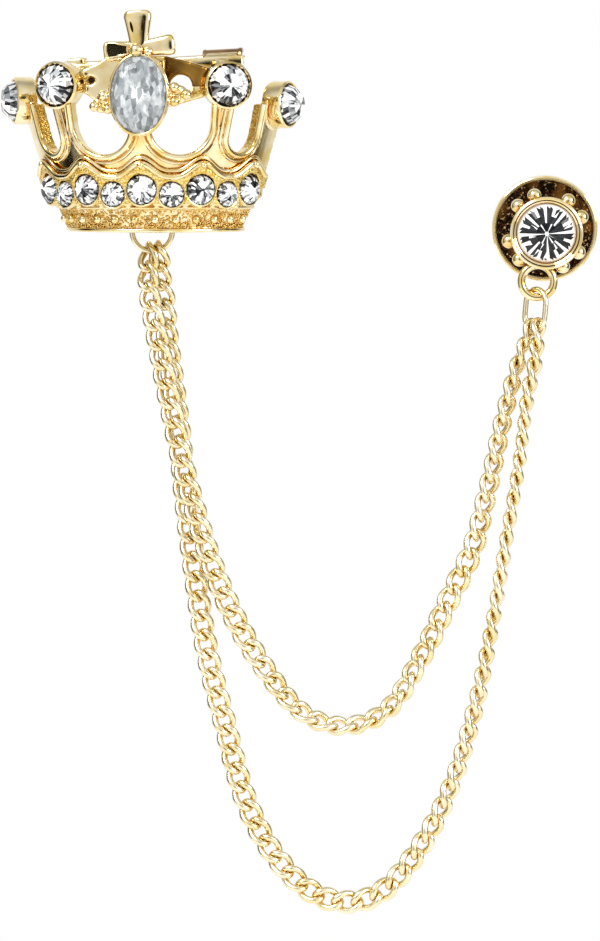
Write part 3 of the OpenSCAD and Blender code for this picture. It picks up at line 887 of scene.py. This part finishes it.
@dataclass
class CrownCasting:
    """The cast crown: its walls with softened edges, and the raised work over them."""

    arch_bottom: float = 7.9
    # Plan angle, radius and lift of the arches on one side, then of their two wires the growth,
    # the distance out of the wall, the radius and the sides.
    arches: Rows = ((18.0, 3.2, 0.0), (48.2, 1.9, 0.2))
    arch_wires: Rows = ((0.22, 0.12, 0.34, 12), (0.78, 0.03, 0.19, 10))
    wall_top: float = 13.2
    ridge_peak: float = 7.1
    ridge_valley: float = 5.7
    ridge_reach: float = 4.75
    # Rise over the ridge, distance out of the wall and radius of its two cords, then of its beads.
    cords: Rows = ((0.0, 0.65, 0.3), (0.62, 0.28, 0.22))
    peak_bead: tuple[float, float, float] = (-0.15, 0.85, 0.36)
    voxel: float = 0.16
    soft_passes: int = 3
    least_part: int = 100
    cross_front: float = -10.0
    cross_foot: float = 17.95

    def casting(self) -> None:
        """Softens the crown's solid as casting and tumbling do, in place of its CAD node."""
        rough = to_mesh("crown_rough", merged_copy("crown"))
        maker = link_object("crown_rough", rough)
        remesh = maker.modifiers.new("cast", "REMESH")
        remesh.mode = "VOXEL"
        remesh.voxel_size = self.voxel * MM
        bpy.context.view_layer.update()
        graph = bpy.context.evaluated_depsgraph_get()
        cast = bpy.data.meshes.new_from_object(maker.evaluated_get(graph))
        bpy.data.objects.remove(maker)
        bm = bmesh.new()
        bm.from_mesh(cast)
        self.cut_cross_away(bm)
        self.drop_specks(bm)
        for _ in range(self.soft_passes):
            bmesh.ops.smooth_vert(
                bm, verts=bm.verts, factor=0.5, use_axis_x=True, use_axis_y=True, use_axis_z=True
            )
        finish_piece(
            "crown_casting", bm, Matrix.Identity(4), replaces=["crown"], sharp_deg=180, recalc=False,
            regions=(Finish.GRANULATED, Finish.SHADED),
        )

    def cut_cross_away(self, bm: BMesh) -> None:
        """Cuts off the rough cross, which is modelled on its own.

        Args:
            bm: The casting's mesh, in the frame's metres.
        """
        back = PLAN.matrix.inverted()
        front = [f for f in bm.faces if (back @ f.calc_center_median()).y < self.cross_front]
        edges = list(dict.fromkeys(e for f in front for e in f.edges))
        verts = list(dict.fromkeys(v for f in front for v in f.verts))
        bmesh.ops.bisect_plane(
            bm, geom=front + edges + verts, plane_co=PLAN.matrix @ Vector((0, 0, self.cross_foot)),
            plane_no=UP, clear_outer=True,
        )
        bmesh.ops.holes_fill(bm, edges=[e for e in bm.edges if e.is_boundary])

    def drop_specks(self, bm: BMesh) -> None:
        """Deletes the loose specks that the voxels leave in the solid's folds.

        Args:
            bm: The casting's mesh.
        """
        specks = [vert for part in loose_parts(bm) if len(part) < self.least_part for vert in part]
        bmesh.ops.delete(bm, geom=specks, context="VERTS")

    def arch_path(self, centre_deg: float, radius: float, lowest: float, proud: float) -> Path:
        """Edge of one arch on the wall's face, from top to top.

        Args:
            centre_deg: Plan angle of its middle.
            radius: Radius of its round bottom.
            lowest: Height of its lowest point.
            proud: Distance out of the wall.

        Returns:
            Points along the edge.
        """
        middle = lowest + radius
        flat = [Vector((-radius, h)) for h in np.linspace(self.wall_top, middle + 0.3, 8)]
        flat += [p.to_2d() for p in arc(
            Vector((0, middle, 0)), Vector((radius, 0, 0)), Vector((0, radius, 0)), 24, start=180
        )]
        flat += [Vector((radius, h)) for h in np.linspace(middle + 0.3, self.wall_top, 8)]
        points = []
        for x, h in flat:
            turn = math.degrees(math.asin(x / (PLAN.radius + PLAN.wall_at(h))))
            points.append(PLAN.on_wall(centre_deg + turn, h, proud))
        return points

    def mouldings(self) -> None:
        """Rounded mouldings round the four arches, each a thick wire and a finer one outside it."""
        bm = bmesh.new()
        for side in (-1, 1):
            for angle, radius, lift in self.arches:
                for grow, proud, wire, sides in self.arch_wires:
                    lowest = self.arch_bottom + lift - grow
                    tube(bm, self.arch_path(side * angle, radius + grow, lowest, proud), wire, sides)
        finish_piece("arch_mouldings", bm, PLAN.matrix)

    def ridge_height(self, distance: float) -> float:
        """Height of the scalloped ridge at a distance along the row."""
        swing = (1 + math.cos(math.pi * distance / PLAN.row_pitch)) / 2
        return self.ridge_valley + (self.ridge_peak - self.ridge_valley) * swing**1.5

    def ridges(self) -> None:
        """Two scalloped cords over the stones, with a bead on every peak."""
        bm = bmesh.new()
        places = [self.ridge_reach * PLAN.row_pitch * (i / 90 - 1) for i in range(181)]
        for rise, proud, radius in self.cords:
            path = [PLAN.on_wall(PLAN.angle_at(s), self.ridge_height(s) + rise, proud) for s in places]
            tube(bm, path, radius, 12)
        rise, proud, radius = self.peak_bead
        for k in range(-2, 3):
            angle = PLAN.angle_at(2 * k * PLAN.row_pitch)
            ball(bm, PLAN.on_wall(angle, self.ridge_peak + rise, proud), radius)
        finish_piece("ridge_cords", bm, PLAN.matrix)

    def build(self) -> None:
        """Models the casting and its raised work."""
        self.casting()
        self.mouldings()
        self.ridges()


@dataclass
class StoneRow:
    """The nine stones over the band, with their collars and the grains between them."""

    large: float = 3.06
    small: float = 2.56
    large_height: float = 4.4
    small_height: float = 3.9
    seat: float = 0.65
    rise: float = 0.75
    count: int = 9
    first_seed: int = 40
    # Height, outward offset and radius of the grains in each gap.
    grains: Rows = ((2.75, 0.15, 0.34), (5.75, 0.75, 0.3), (3.2, 0.5, 0.2))

    def angle(self, index: float) -> float:
        """Plan angle of a stone, or of a gap between two."""
        return PLAN.angle_at((index - self.count // 2) * PLAN.row_pitch)

    def build(self) -> None:
        """Models collars, grains and stones."""
        bm = bmesh.new()
        stones = []
        for i in range(self.count):
            size, height = (
                (self.large, self.large_height) if i % 2 == 0 else (self.small, self.small_height)
            )
            r = size / 2
            axes = PLAN.face(self.angle(i), self.seat, height, self.angle(i))
            lathe(
                bm,
                [(r + 0.01, -0.04), (r + 0.05, 0.05), (r + 0.12, 0.07), (r + 0.19, 0.0),
                 (r + 0.21, -0.4), (r + 0.01, -0.4)],
                axes, steps=36,
            )
            stones.append(CutStone(
                f"row_stone_{i + 1}", PLAN.matrix @ axes, size, size, self.rise, self.first_seed + i
            ))
        for i in range(self.count - 1):
            for height, offset, radius in self.grains:
                ball(bm, PLAN.point(self.angle(i + 0.5), offset, height), radius, 16)
        finish_piece("row_collars", bm, PLAN.matrix)
        for stone in stones:
            stone.build()


@dataclass
class Band:
    """The band under the stones: two smooth rims, a granulated ground and a row of beads."""

    height: float = 2.7
    inset: float = 2.25
    top_inset: float = 1.1
    rim: float = 0.24
    bead: float = 0.46
    beads: int = 12
    bead_step_deg: float = 12.2
    grain: float = 0.095
    grains: int = 1500
    seed: int = 7

    def build(self) -> None:
        """Models the rims, the beads and the grains."""
        bm = bmesh.new()
        spread = np.linspace(-PLAN.half_angle, PLAN.half_angle, 90)
        for height, offset in ((0.2, -self.inset + 0.06), (self.height - 0.14, -self.top_inset + 0.02)):
            tube(bm, [PLAN.point(a, offset, height) for a in spread], self.rim, 12)
        middle = -(self.inset + self.top_inset) / 2
        for k in range(self.beads):
            angle = self.bead_step_deg * (k - (self.beads - 1) / 2)
            ball(bm, PLAN.point(angle, middle + 0.08, self.height / 2), self.bead)
        finish_piece("band_rims", bm, PLAN.matrix)
        dice = random.Random(self.seed)
        bm = bmesh.new()
        slope = (self.inset - self.top_inset) / self.height
        for _ in range(self.grains):
            angle = dice.uniform(-PLAN.half_angle + 1, PLAN.half_angle - 1)
            height = dice.uniform(0.4, self.height - 0.35)
            place = PLAN.point(angle, -self.inset + slope * height, height)
            bmesh.ops.create_icosphere(
                bm, subdivisions=1, radius=self.grain * dice.uniform(0.8, 1.35),
                matrix=Matrix.Translation(place),
            )
        finish_piece("band_grains", bm, PLAN.matrix, Finish.GRANULATED, sharp_deg=180, recalc=False)


@dataclass
class SpikeCups:
    """The four cups on the spikes, with their domed stones."""

    stone: float = 4.2
    wall: float = 0.3
    length: float = 2.0
    rise: float = 1.45
    inner_deg: float = 39.5
    outer_deg: float = 70.0
    inner_turn: float = 20.0
    inner_height: float = 15.1
    outer_height: float = 13.3
    outer_step: float = 0.2
    inner_offset: float = 1.4
    outer_offset: float = 1.6
    first_seed: int = 3

    def axes(self, index: int) -> Matrix:
        """Axes of one cup: Z out, the origin at its back."""
        side = -1 if index % 2 == 0 else 1
        if index < 2:
            return PLAN.face(
                side * self.inner_deg, self.inner_offset, self.inner_height, side * self.inner_turn
            )
        height = self.outer_height - side * self.outer_step
        return PLAN.face(side * self.outer_deg, self.outer_offset, height, side * self.outer_deg)

    def build(self) -> None:
        """Models the cups' rolled lips and the stones."""
        bm = bmesh.new()
        r, end = self.stone / 2, self.length
        outer = r + self.wall
        for i in range(4):
            axes = self.axes(i)
            lathe(
                bm,
                [(r + 0.04, end - 0.3), (r + 0.04, end + 0.02), (r + 0.16, end + 0.14),
                 (outer - 0.08, end + 0.1), (outer + 0.06, end - 0.06), (outer + 0.06, 0.35),
                 (outer - 0.08, 0.05), (outer - 0.5, -0.06), (outer - 0.9, 0.2), (outer - 0.35, 0.5)],
                axes, steps=56,
            )
            seat = PLAN.matrix @ axes @ Matrix.Translation((0, 0, end - 0.1))
            CutStone(
                f"spike_stone_{i + 1}", seat, self.stone, self.stone, self.rise, self.first_seed + i
            ).build()
        finish_piece("cup_lips", bm, PLAN.matrix)


@dataclass
class PinCatch:
    """The catch's tube with rolled ends, its mouth open toward the back, and the bar behind it."""

    start: float = 5.05
    length: float = 4.15
    radius: float = 0.88
    bore: float = 0.56
    mouth_deg: float = 110.0
    bar_middle: tuple[float, float, float] = (0.45, -2.15, -0.65)
    bar_size: tuple[float, float, float] = (18.0, 0.92, 1.52)
    bar_edge: float = 0.16

    def bar(self) -> None:
        """Models the straight bar that the hinge and the catch are soldered to."""
        bm = bmesh.new()
        bmesh.ops.create_cube(
            bm, size=1, matrix=Matrix.Translation(self.bar_middle) @ Matrix.Diagonal((*self.bar_size, 1))
        )
        bmesh.ops.bevel(
            bm, geom=bm.edges[:], offset=self.bar_edge, segments=3, profile=0.5, affect="EDGES"
        )
        finish_piece("pin_bar", bm, PLAN.pin)

    def build(self) -> None:
        """Models the bar and the tube's outside."""
        self.bar()
        bm = bmesh.new()
        axes = frame_at(Vector((self.start, 0, 0)), Vector((1, 0, 0)))
        bore, r, end = self.bore, self.radius, self.length
        lathe(
            bm,
            [(bore, 0), (r - 0.05, 0), (r + 0.05, 0.08), (r + 0.05, 0.3), (r, 0.38), (r, end - 0.5),
             (r + 0.06, end - 0.4), (r + 0.07, end - 0.1), (r - 0.02, end), (bore, end),
             (bore, end - 0.6), (r - 0.1, end - 0.6), (r - 0.1, 0.4), (bore, 0.4)],
            axes @ Matrix.Rotation(math.radians(self.mouth_deg / 2), 4, "Z"), steps=40,
            angle=math.radians(360 - self.mouth_deg),
        )
        # Painted reflection: the catch's sheet is painted rosy brown for the dark bands the tube mirrors.
        finish_piece("catch_tube", bm, PLAN.pin, Finish.ROLLED)


@dataclass
class OvalSetting:
    """The oval stone in its bezel, the trefoils beside it and the cross over it."""

    width: float = 5.5
    height: float = 7.75
    back: float = -10.8
    middle: float = 14.15
    depth: float = 1.5
    overlap: float = 0.24
    stone_rise: float = 1.1
    lip: float = 0.12
    bead: float = 0.53
    bead_spacing: float = 0.84
    bead_level: float = 0.9
    # X, Y and turn in degrees of each trefoil.
    trefoils_at: Rows = ((-3.85, -0.95, 80), (4.05, 0.0, 0))
    cross_rise: float = 18.55
    cross_depth: float = 1.3
    cross_tilt_deg: float = 3.0
    # Turn, start, length, width at the start and width at the end of each arm.
    arms: Rows = (
        (0, -0.3, 4.52, 1.7, 2.9), (93, 0.3, 3.67, 1.55, 2.15), (-86, 0.3, 3.67, 1.55, 2.15),
        (180, 0.4, 1.9, 1.9, 1.8),
    )
    # X, Y, height over the arms, radius and sides of the beads.
    cross_beads: Rows = ((-0.2, 0.12, 0.25, 0.72, 28), (0.95, -0.1, 0.1, 0.5, 24))
    panel: Rows = (
        (-1.05, -0.28), (-3.1, -0.42), (-3.25, 0.2), (-3.2, 0.85), (-3.0, 1.0), (-1.05, 0.72)
    )
    panel_rim: float = 0.13
    panel_thickness: float = 0.1
    # X, lower and upper end of each slot, and its radii from end to end.
    slots_at: Rows = ((-0.55, 1.95, 3.05), (0.5, 2.15, 3.25))
    slot_radii: tuple[float, ...] = (0.05, 0.12, 0.14, 0.12, 0.05)
    pit: tuple[float, float, float] = (-5.5, -8.25, 15.6)
    pit_radius: float = 0.43
    pit_depth: float = 0.1

    @property
    def axes(self) -> Matrix:
        """Axes of the setting: Z out, the origin at the back of the bezel."""
        return frame_at(Vector((0, self.back, self.middle)), FRONT)

    @property
    def cross_axes(self) -> Matrix:
        """From the cross's millimetres to the frame's metres: Z out, Y along its top arm."""
        place = frame_at(Vector((0, self.back - 0.5, self.cross_rise)), FRONT)
        return PLAN.matrix @ place @ Matrix.Rotation(math.radians(self.cross_tilt_deg), 4, "Z")

    def bezel(self) -> None:
        """The bezel's rolled lip."""
        bm = bmesh.new()
        for grow, level in ((0.21, self.depth - 0.02), (0.31, self.depth - 0.4)):
            x = Vector((self.width / 2 + grow, 0, 0))
            y = Vector((0, self.height / 2 + grow, 0))
            tube(bm, arc(Vector((0, 0, level)), x, y, 72), self.lip, 12, closed=True)
        finish_piece("oval_bezel", bm, PLAN.matrix @ self.axes)

    def trefoils(self) -> None:
        """Three beads on either side of the oval stone."""
        bm = bmesh.new()
        for x, y, turn in self.trefoils_at:
            for k in range(3):
                a = math.radians(turn + 120 * k)
                step = self.bead_spacing * Vector((math.cos(a), math.sin(a), 0))
                ball(bm, Vector((x, y, self.bead_level)) + step, self.bead, 28)
        finish_piece("trefoil_beads", bm, PLAN.matrix @ self.axes)

    def arm(self, bm: BMesh, turn_deg: float, base: float, length: float, root: float, tip: float) -> None:
        """One flared arm of the cross, a cushion with a rounded end.

        Args:
            bm: Mesh that gets the arm.
            turn_deg: Turn from upright.
            base: Height at which the arm starts.
            length: Its length.
            root: Its width at the start.
            tip: Its width at the end.
        """
        turn = math.radians(turn_deg)
        along = Vector((-math.sin(turn), math.cos(turn), 0))
        path, radii, flats = [], [], []
        for share, round_off in (
            (0.0, 1.0), (0.2, 1.0), (0.45, 1.0), (0.7, 1.0), (0.84, 1.0), (0.91, 0.97), (0.96, 0.88),
            (0.99, 0.72), (1.0, 0.5),
        ):
            half = (root + (tip - root) * min(1.0, share / 0.84) ** 1.3) / 2 * round_off
            depth = (self.cross_depth / 2 + 0.02) * (0.45 + 0.55 * round_off)
            path.append(Vector((0, base, 0)) + along * length * share)
            radii.append(half)
            flats.append(depth / half)
        tube(bm, path, radii, 32, flatten=flats, squareness=3.4)

    def cross(self) -> None:
        """The cross over the oval stone: four arms, a framed panel on the left one and two beads."""
        front = self.cross_depth / 2
        bm = bmesh.new()
        for arm in self.arms:
            self.arm(bm, *arm)
        rim = [Vector((x, y, front + 0.03)) for x, y in self.panel]
        tube(bm, rim, self.panel_rim, 10, closed=True)
        slope = -math.tan(math.radians(PLAN.turn_deg))
        panel = bm.faces.new(
            [bm.verts.new((x, y, front + 0.12 + slope * (x + 2.1))) for x, y in self.panel]
        )
        plate = bmesh.ops.extrude_face_region(bm, geom=[panel], use_keep_orig=True)["geom"]
        back = [part for part in plate if isinstance(part, BMVert)]
        bmesh.ops.translate(bm, vec=(0, 0, -self.panel_thickness), verts=back)
        for x, y, rise, radius, sides in self.cross_beads:
            ball(bm, Vector((x, y, front + rise)), radius, sides)
        finish_piece("cross_work", bm, self.cross_axes, sharp_deg=60)

    def recesses(self) -> None:
        """Painted shade: the two dark slots in the cross's top arm and the pit in the bridge's left half.
        """
        bm = bmesh.new()
        level = self.cross_depth / 2 + 0.02
        for x, low, high in self.slots_at:
            path = [
                Vector((x * (0.9 + 0.1 * k), low + (high - low) * k / 4, level)) for k in range(5)
            ]
            tube(bm, path, self.slot_radii, 10)
        finish_piece("cross_slots", bm, self.cross_axes, Finish.RECESS)
        bm = bmesh.new()
        bmesh.ops.create_cone(
            bm, cap_ends=True, segments=24, radius1=self.pit_radius, radius2=self.pit_radius,
            depth=self.pit_depth, matrix=frame_at(Vector(self.pit), FRONT),
        )
        finish_piece("bridge_pit", bm, PLAN.matrix, Finish.RECESS)

    def build(self) -> None:
        """Models the whole setting."""
        self.bezel()
        self.trefoils()
        self.cross()
        self.recesses()
        CutStone(
            "oval_stone", PLAN.matrix @ self.axes @ Matrix.Translation((0, 0, self.depth)),
            self.width + self.overlap, self.height + self.overlap, self.stone_rise, seed=12,
            tone=Tone.ICE, finish=Finish.CRACKLED, sides=28,
            rings=((0.92, 0.3), (0.82, 0.56), (0.68, 0.78), (0.52, 0.92), (0.34, 0.98), (0.16, 1.0)),
        ).build()


@dataclass
class CurbChain:
    """Curb links laid on the frame's own links."""

    link_length: float = 2.82
    link_width: float = 1.84
    wire: float = 0.7
    twist_deg: float = 100.0
    steps: int = 28
    sides: int = 12

    def link(self) -> bpy.types.Mesh:
        """One link in its own axes: X along the strand, twisted from end to end."""
        bm = bmesh.new()
        path = []
        for i in range(self.steps):
            t = math.tau * i / self.steps
            x = self.link_length / 2 * math.cos(t)
            rho = self.link_width / 2 * math.sin(t)
            turn = -math.radians(self.twist_deg) * x / self.link_length
            path.append(Vector((x, rho * math.cos(turn), rho * math.sin(turn))))
        tube(bm, path, self.wire / 2, self.sides, closed=True)
        bmesh.ops.recalc_face_normals(bm, faces=bm.faces)
        return to_mesh("curb_link", bm)

    @staticmethod
    def link_frames(node: str) -> list[Matrix]:
        """Axes of every link of a strand, from the frame's own mesh.

        Args:
            node: The strand's CAD node.

        Returns:
            A matrix for each link, from its middle, with X along the link and Y across it.
        """
        bm = merged_copy(node)
        frames = []
        for part in loose_parts(bm):
            points = np.array([v.co for v in part])
            middle = points.mean(0)
            _, axes = np.linalg.eigh(np.cov((points - middle).T))
            along, across = Vector(axes[:, 2]), Vector(axes[:, 1])
            matrix = Matrix((along, across, along.cross(across))).transposed().to_4x4()
            matrix.translation = Vector(middle)
            frames.append(matrix)
        bm.free()
        return sorted(frames, key=lambda m: tuple(round(x, 6) for x in m.translation))

    def build(self, node: str, name: str) -> None:
        """Models one strand.

        Args:
            node: The strand's CAD node.
            name: Name of the new piece.
        """
        bm = bmesh.new()
        link = self.link()
        for place in self.link_frames(node):
            copy = link.copy()
            copy.transform(place @ Matrix.Scale(MM, 4))
            bm.from_mesh(copy)
            bpy.data.meshes.remove(copy)
        bpy.data.meshes.remove(link)
        finish_piece(
            name, bm, Matrix.Identity(4), Finish.WIRE, replaces=[node], sharp_deg=180, recalc=False
        )


@dataclass
class Stud:
    """The round stud: stone cup, beads, loop and post, and the clutch behind it."""

    centre: tuple[float, float, float] = (40.47, 0.0, -17.45)
    tilt_deg: float = 4.0
    diameter: float = 7.5
    stone: float = 6.2
    stone_rise: float = 1.15
    stone_seat: float = 4.05
    back: float = 1.3
    front: float = 4.6
    bead: float = 0.76
    bead_reach: float = 3.95
    bead_level: float = 2.9
    bead_angles: tuple[int, ...] = (23, 55, 108, 137, 194, 226, 296, 328)
    loop_centre: tuple[float, float, float] = (39.6, -3.0, -22.76)
    loop_diameter: float = 3.36
    loop_wire: float = 0.84
    post: float = 1.1
    post_length: float = 8.0
    clutch: float = 11.0
    clutch_front: float = -0.7
    clutch_depth: float = 1.9
    clutch_lip: float = 0.24

    @property
    def matrix(self) -> Matrix:
        """From the stud's millimetres to the frame's metres: Z out toward the viewer."""
        return (
            Matrix.Scale(MM, 4)
            @ Matrix.Translation(self.centre)
            @ Matrix.Rotation(math.radians(self.tilt_deg + 90), 4, "X")
        )

    def head(self) -> None:
        """The cup with its stepped bezel, the beads, the loop and the post."""
        bm = bmesh.new()
        outer, inner, front, back = self.diameter / 2, self.stone / 2 + 0.05, self.front, self.back
        top = front + 0.2
        lathe(
            bm,
            [(0.0, back), (outer - 0.3, back), (outer, back + 0.3), (outer, front - 0.35),
             (outer + 0.03, front - 0.05), (outer - 0.05, top - 0.06), (outer - 0.16, top),
             (outer - 0.27, top - 0.07), (outer - 0.3, front - 0.12), (outer - 0.34, front - 0.14),
             (outer - 0.4, front - 0.02), (inner + 0.04, front - 0.12), (inner, front - 0.3),
             (inner, front - 1.3), (0.0, front - 1.3)],
            steps=72, closed=False,
        )
        post, end = self.post / 2, -self.post_length
        lathe(
            bm,
            [(0.0, back + 0.1), (post, back + 0.1), (post, end), (post - 0.1, end - 0.3),
             (0.15, end - 0.98), (0.0, end - 1.0)],
            steps=28, closed=False,
        )
        for angle in self.bead_angles:
            a = math.radians(angle)
            place = Vector((self.bead_reach * math.cos(a), self.bead_reach * math.sin(a), self.bead_level))
            ball(bm, place, self.bead, 28)
        bmesh.ops.remove_doubles(bm, verts=bm.verts, dist=1e-4)
        bmesh.ops.transform(bm, matrix=self.matrix, verts=bm.verts)
        reach = self.loop_diameter / 2 * MM
        loop = arc(Vector(self.loop_centre) * MM, Vector((reach, 0, 0)), Vector((0, 0, reach)), 56)
        tube(bm, loop, self.loop_wire / 2 * MM, 16, closed=True, up=-FRONT)
        finish_piece("stud_setting", bm, Matrix.Identity(4), replaces=["stud_head"])

    def clutch_pieces(self) -> None:
        """The clutch: its shell and hub, the dark dish inside and the rolled lip round it."""
        rim, front = self.clutch / 2, self.clutch_front
        floor = front - self.clutch_depth
        bore = self.post / 2 + 0.05
        bm = bmesh.new()
        lathe(
            bm,
            [(rim - 0.3, front - 0.12), (rim - 0.24, front - 0.03), (rim - 0.15, front),
             (rim - 0.05, front - 0.06), (rim, front - 0.2), (rim - 0.02, floor + 0.5),
             (rim - 0.18, floor + 0.15), (rim - 0.5, floor), (2.3, floor), (2.2, floor - 0.15),
             (2.2, floor - 2.35), (2.0, floor - 2.6), (bore, floor - 2.6), (bore, floor + 0.42),
             (rim - 0.8, floor + 0.42), (rim - 0.45, floor + 0.7)],
            steps=96,
        )
        finish_piece("clutch_shell", bm, self.matrix, body="clutch", replaces=["clutch"])
        bm = bmesh.new()
        lathe(
            bm,
            [(bore + 0.02, floor + 0.43), (rim - 0.85, floor + 0.44), (rim - 0.5, floor + 0.6),
             (rim - 0.31, front - 0.14), (rim - 0.36, front - 0.14), (rim - 0.6, floor + 0.75),
             (rim - 0.9, floor + 0.52), (bore + 0.02, floor + 0.5)],
            steps=96,
        )
        finish_piece("clutch_dish", bm, self.matrix, Finish.DISH, body="clutch")
        bm = bmesh.new()
        lip, level = rim - self.clutch_lip, front - self.clutch_lip
        path = arc(Vector((0, 0, level)), Vector((lip, 0, 0)), Vector((0, lip, 0)), 120)
        tube(bm, path, self.clutch_lip, 14, closed=True)
        finish_piece("clutch_lip", bm, self.matrix, Finish.WIRE, body="clutch")

    def build(self) -> None:
        """Models the stud."""
        self.head()
        self.clutch_pieces()
        CutStone(
            "stud_stone", self.matrix @ Matrix.Translation((0, 0, self.stone_seat)), self.stone,
            self.stone, self.stone_rise, seed=5, tone=Tone.SPOKES, sides=48,
            rings=((0.93, 0.3), (0.84, 0.5), (0.6, 0.8), (0.36, 0.96), (0.07, 1.0)),
        ).build()


@dataclass
class Studio:
    """Pale floor, soft even light with a few dark gaps, and the camera."""

    view_height_mm: float = 98.0
    distance_mm: float = 700.0
    elevation_deg: float = 3.2
    target_mm: tuple[float, float, float] = (15.0, 0.0, -42.55)
    floor_mm: float = -160.0
    floor_radius_mm: float = 330.0
    sensor_mm: float = 36.0
    shine: float = 1.05
    # Name, place and size in metres, and watts of each soft light.
    lamps: tuple[tuple[str, tuple[float, float, float], float, float], ...] = (
        ("key", (-0.5, -0.6, 0.7), 0.5, 9.0), ("fill", (0.8, -0.5, 0.2), 0.4, 4.0)
    )

    def camera(self) -> None:
        """Camera at the photograph's angle, for a portrait picture of 600 by 941."""
        data = bpy.data.cameras.new("camera")
        data.sensor_width = self.sensor_mm
        data.lens = self.sensor_mm * self.distance_mm / self.view_height_mm
        data.clip_start, data.clip_end = 0.01, 20
        camera = link_object("camera", data)
        lift = math.radians(self.elevation_deg)
        back = Vector((0, -math.cos(lift), math.sin(lift)))
        camera.location = (Vector(self.target_mm) + back * self.distance_mm) * MM
        camera.rotation_euler = (-back).to_track_quat("-Z", "Y").to_euler()
        bpy.context.scene.camera = camera

    def floor(self) -> None:
        """Round pale floor under the hanging piece."""
        bm = bmesh.new()
        bmesh.ops.create_circle(
            bm, cap_ends=True, segments=96, radius=self.floor_radius_mm * MM,
            matrix=Matrix.Translation((self.target_mm[0] * MM, 0, self.floor_mm * MM)),
        )
        floor = link_object("floor", to_mesh("floor", bm))
        floor.data.materials.append(PaintedFloor().material())

    def lamp(self, name: str, place: tuple[float, float, float], size: float, watts: float) -> None:
        """One square soft light aimed at the piece.

        Args:
            name: Its name.
            place: Where it stands, in metres.
            size: Its side, in metres.
            watts: Its power.
        """
        data = bpy.data.lights.new(name, "AREA")
        data.size = size
        data.energy = watts
        lamp = link_object(name, data)
        lamp.location = place
        aim = Vector(self.target_mm) * MM - lamp.location
        lamp.rotation_euler = aim.to_track_quat("-Z", "Y").to_euler()

    def room(self) -> None:
        """White room with darker gaps between its soft lights, plain and pale where it is looked at."""
        world = bpy.data.worlds.new("studio")
        bpy.context.scene.world = world
        world.use_nodes = True
        tree = world.node_tree
        tree.nodes.clear()
        where = add_node(tree, "TexCoord").outputs["Generated"]
        split = add_node(tree, "SeparateXYZ", links={"Vector": where})
        depth, height = (
            add_node(
                tree, "MapRange", {"From Min": -1.0, "From Max": 1.0}, {"Value": split.outputs[axis]}
            ).outputs["Result"]
            for axis in "YZ"
        )
        walls = ramp(tree, depth, [
            (0.0, "#1E1A16"), (0.006, "#1E1A16"), (0.014, "#E4E0D8"), (0.05, "#F4F2EE"),
            (0.12, "#FFFFFF"), (0.22, "#E8E6E2"), (0.33, "#C8C4BE"), (0.43, "#A8A49E"),
            (0.49, "#77736C"), (0.55, "#14110E"), (0.63, "#1A1612"), (0.7, "#7A766E"),
            (0.8, "#E6E4E0"), (1.0, "#FFFFFF"),
        ])
        above = ramp(
            tree, height, [(0.0, "#8A8680"), (0.3, "#B0ACA6"), (0.6, "#F4F4F4"), (1.0, "#FFFFFF")]
        )
        share = ramp(
            tree, height, [(0.0, "#B8B8B8"), (0.22, "#000000"), (0.62, "#000000"), (0.8, "#B0B0B0")]
        )
        shine = add_node(
            tree, "Background", {"Strength": self.shine}, {"Color": mix_colours(tree, share, walls, above)}
        )
        plain = add_node(tree, "Background", {"Color": linear("#FFFFFF"), "Strength": 1.0})
        looked_at = add_node(tree, "LightPath").outputs["Is Camera Ray"]
        both = add_node(
            tree, "MixShader",
            links={0: looked_at, 1: shine.outputs["Background"], 2: plain.outputs["Background"]},
        )
        add_node(tree, "OutputWorld", links={"Surface": both.outputs["Shader"]})

    def build(self) -> None:
        """Sets up camera, floor, room and lights."""
        self.camera()
        self.floor()
        self.room()
        for lamp in self.lamps:
            self.lamp(*lamp)
        bpy.context.scene.view_settings.view_transform = "Standard"


def dress_plain_nodes() -> None:
    """Gives the wire pieces that keep their CAD shape their finish."""
    for name in ("pin_stem", "crown_ring", "stud_link"):
        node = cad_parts[name]
        node.data.materials.clear()
        node.data.materials.append(Finish.WIRE.material())


def main() -> None:
    """Builds the lapel chain and its studio."""
    logging.basicConfig(level=logging.INFO, format="%(message)s")
    for part in (Studio(), CrownCasting(), StoneRow(), Band(), SpikeCups(), PinCatch(), OvalSetting()):
        part.build()
    chain = CurbChain()
    chain.build("short_chain", "short_strand")
    chain.build("long_chain", "long_strand")
    Stud().build()
    dress_plain_nodes()


if __name__ == "__main__":
    main()
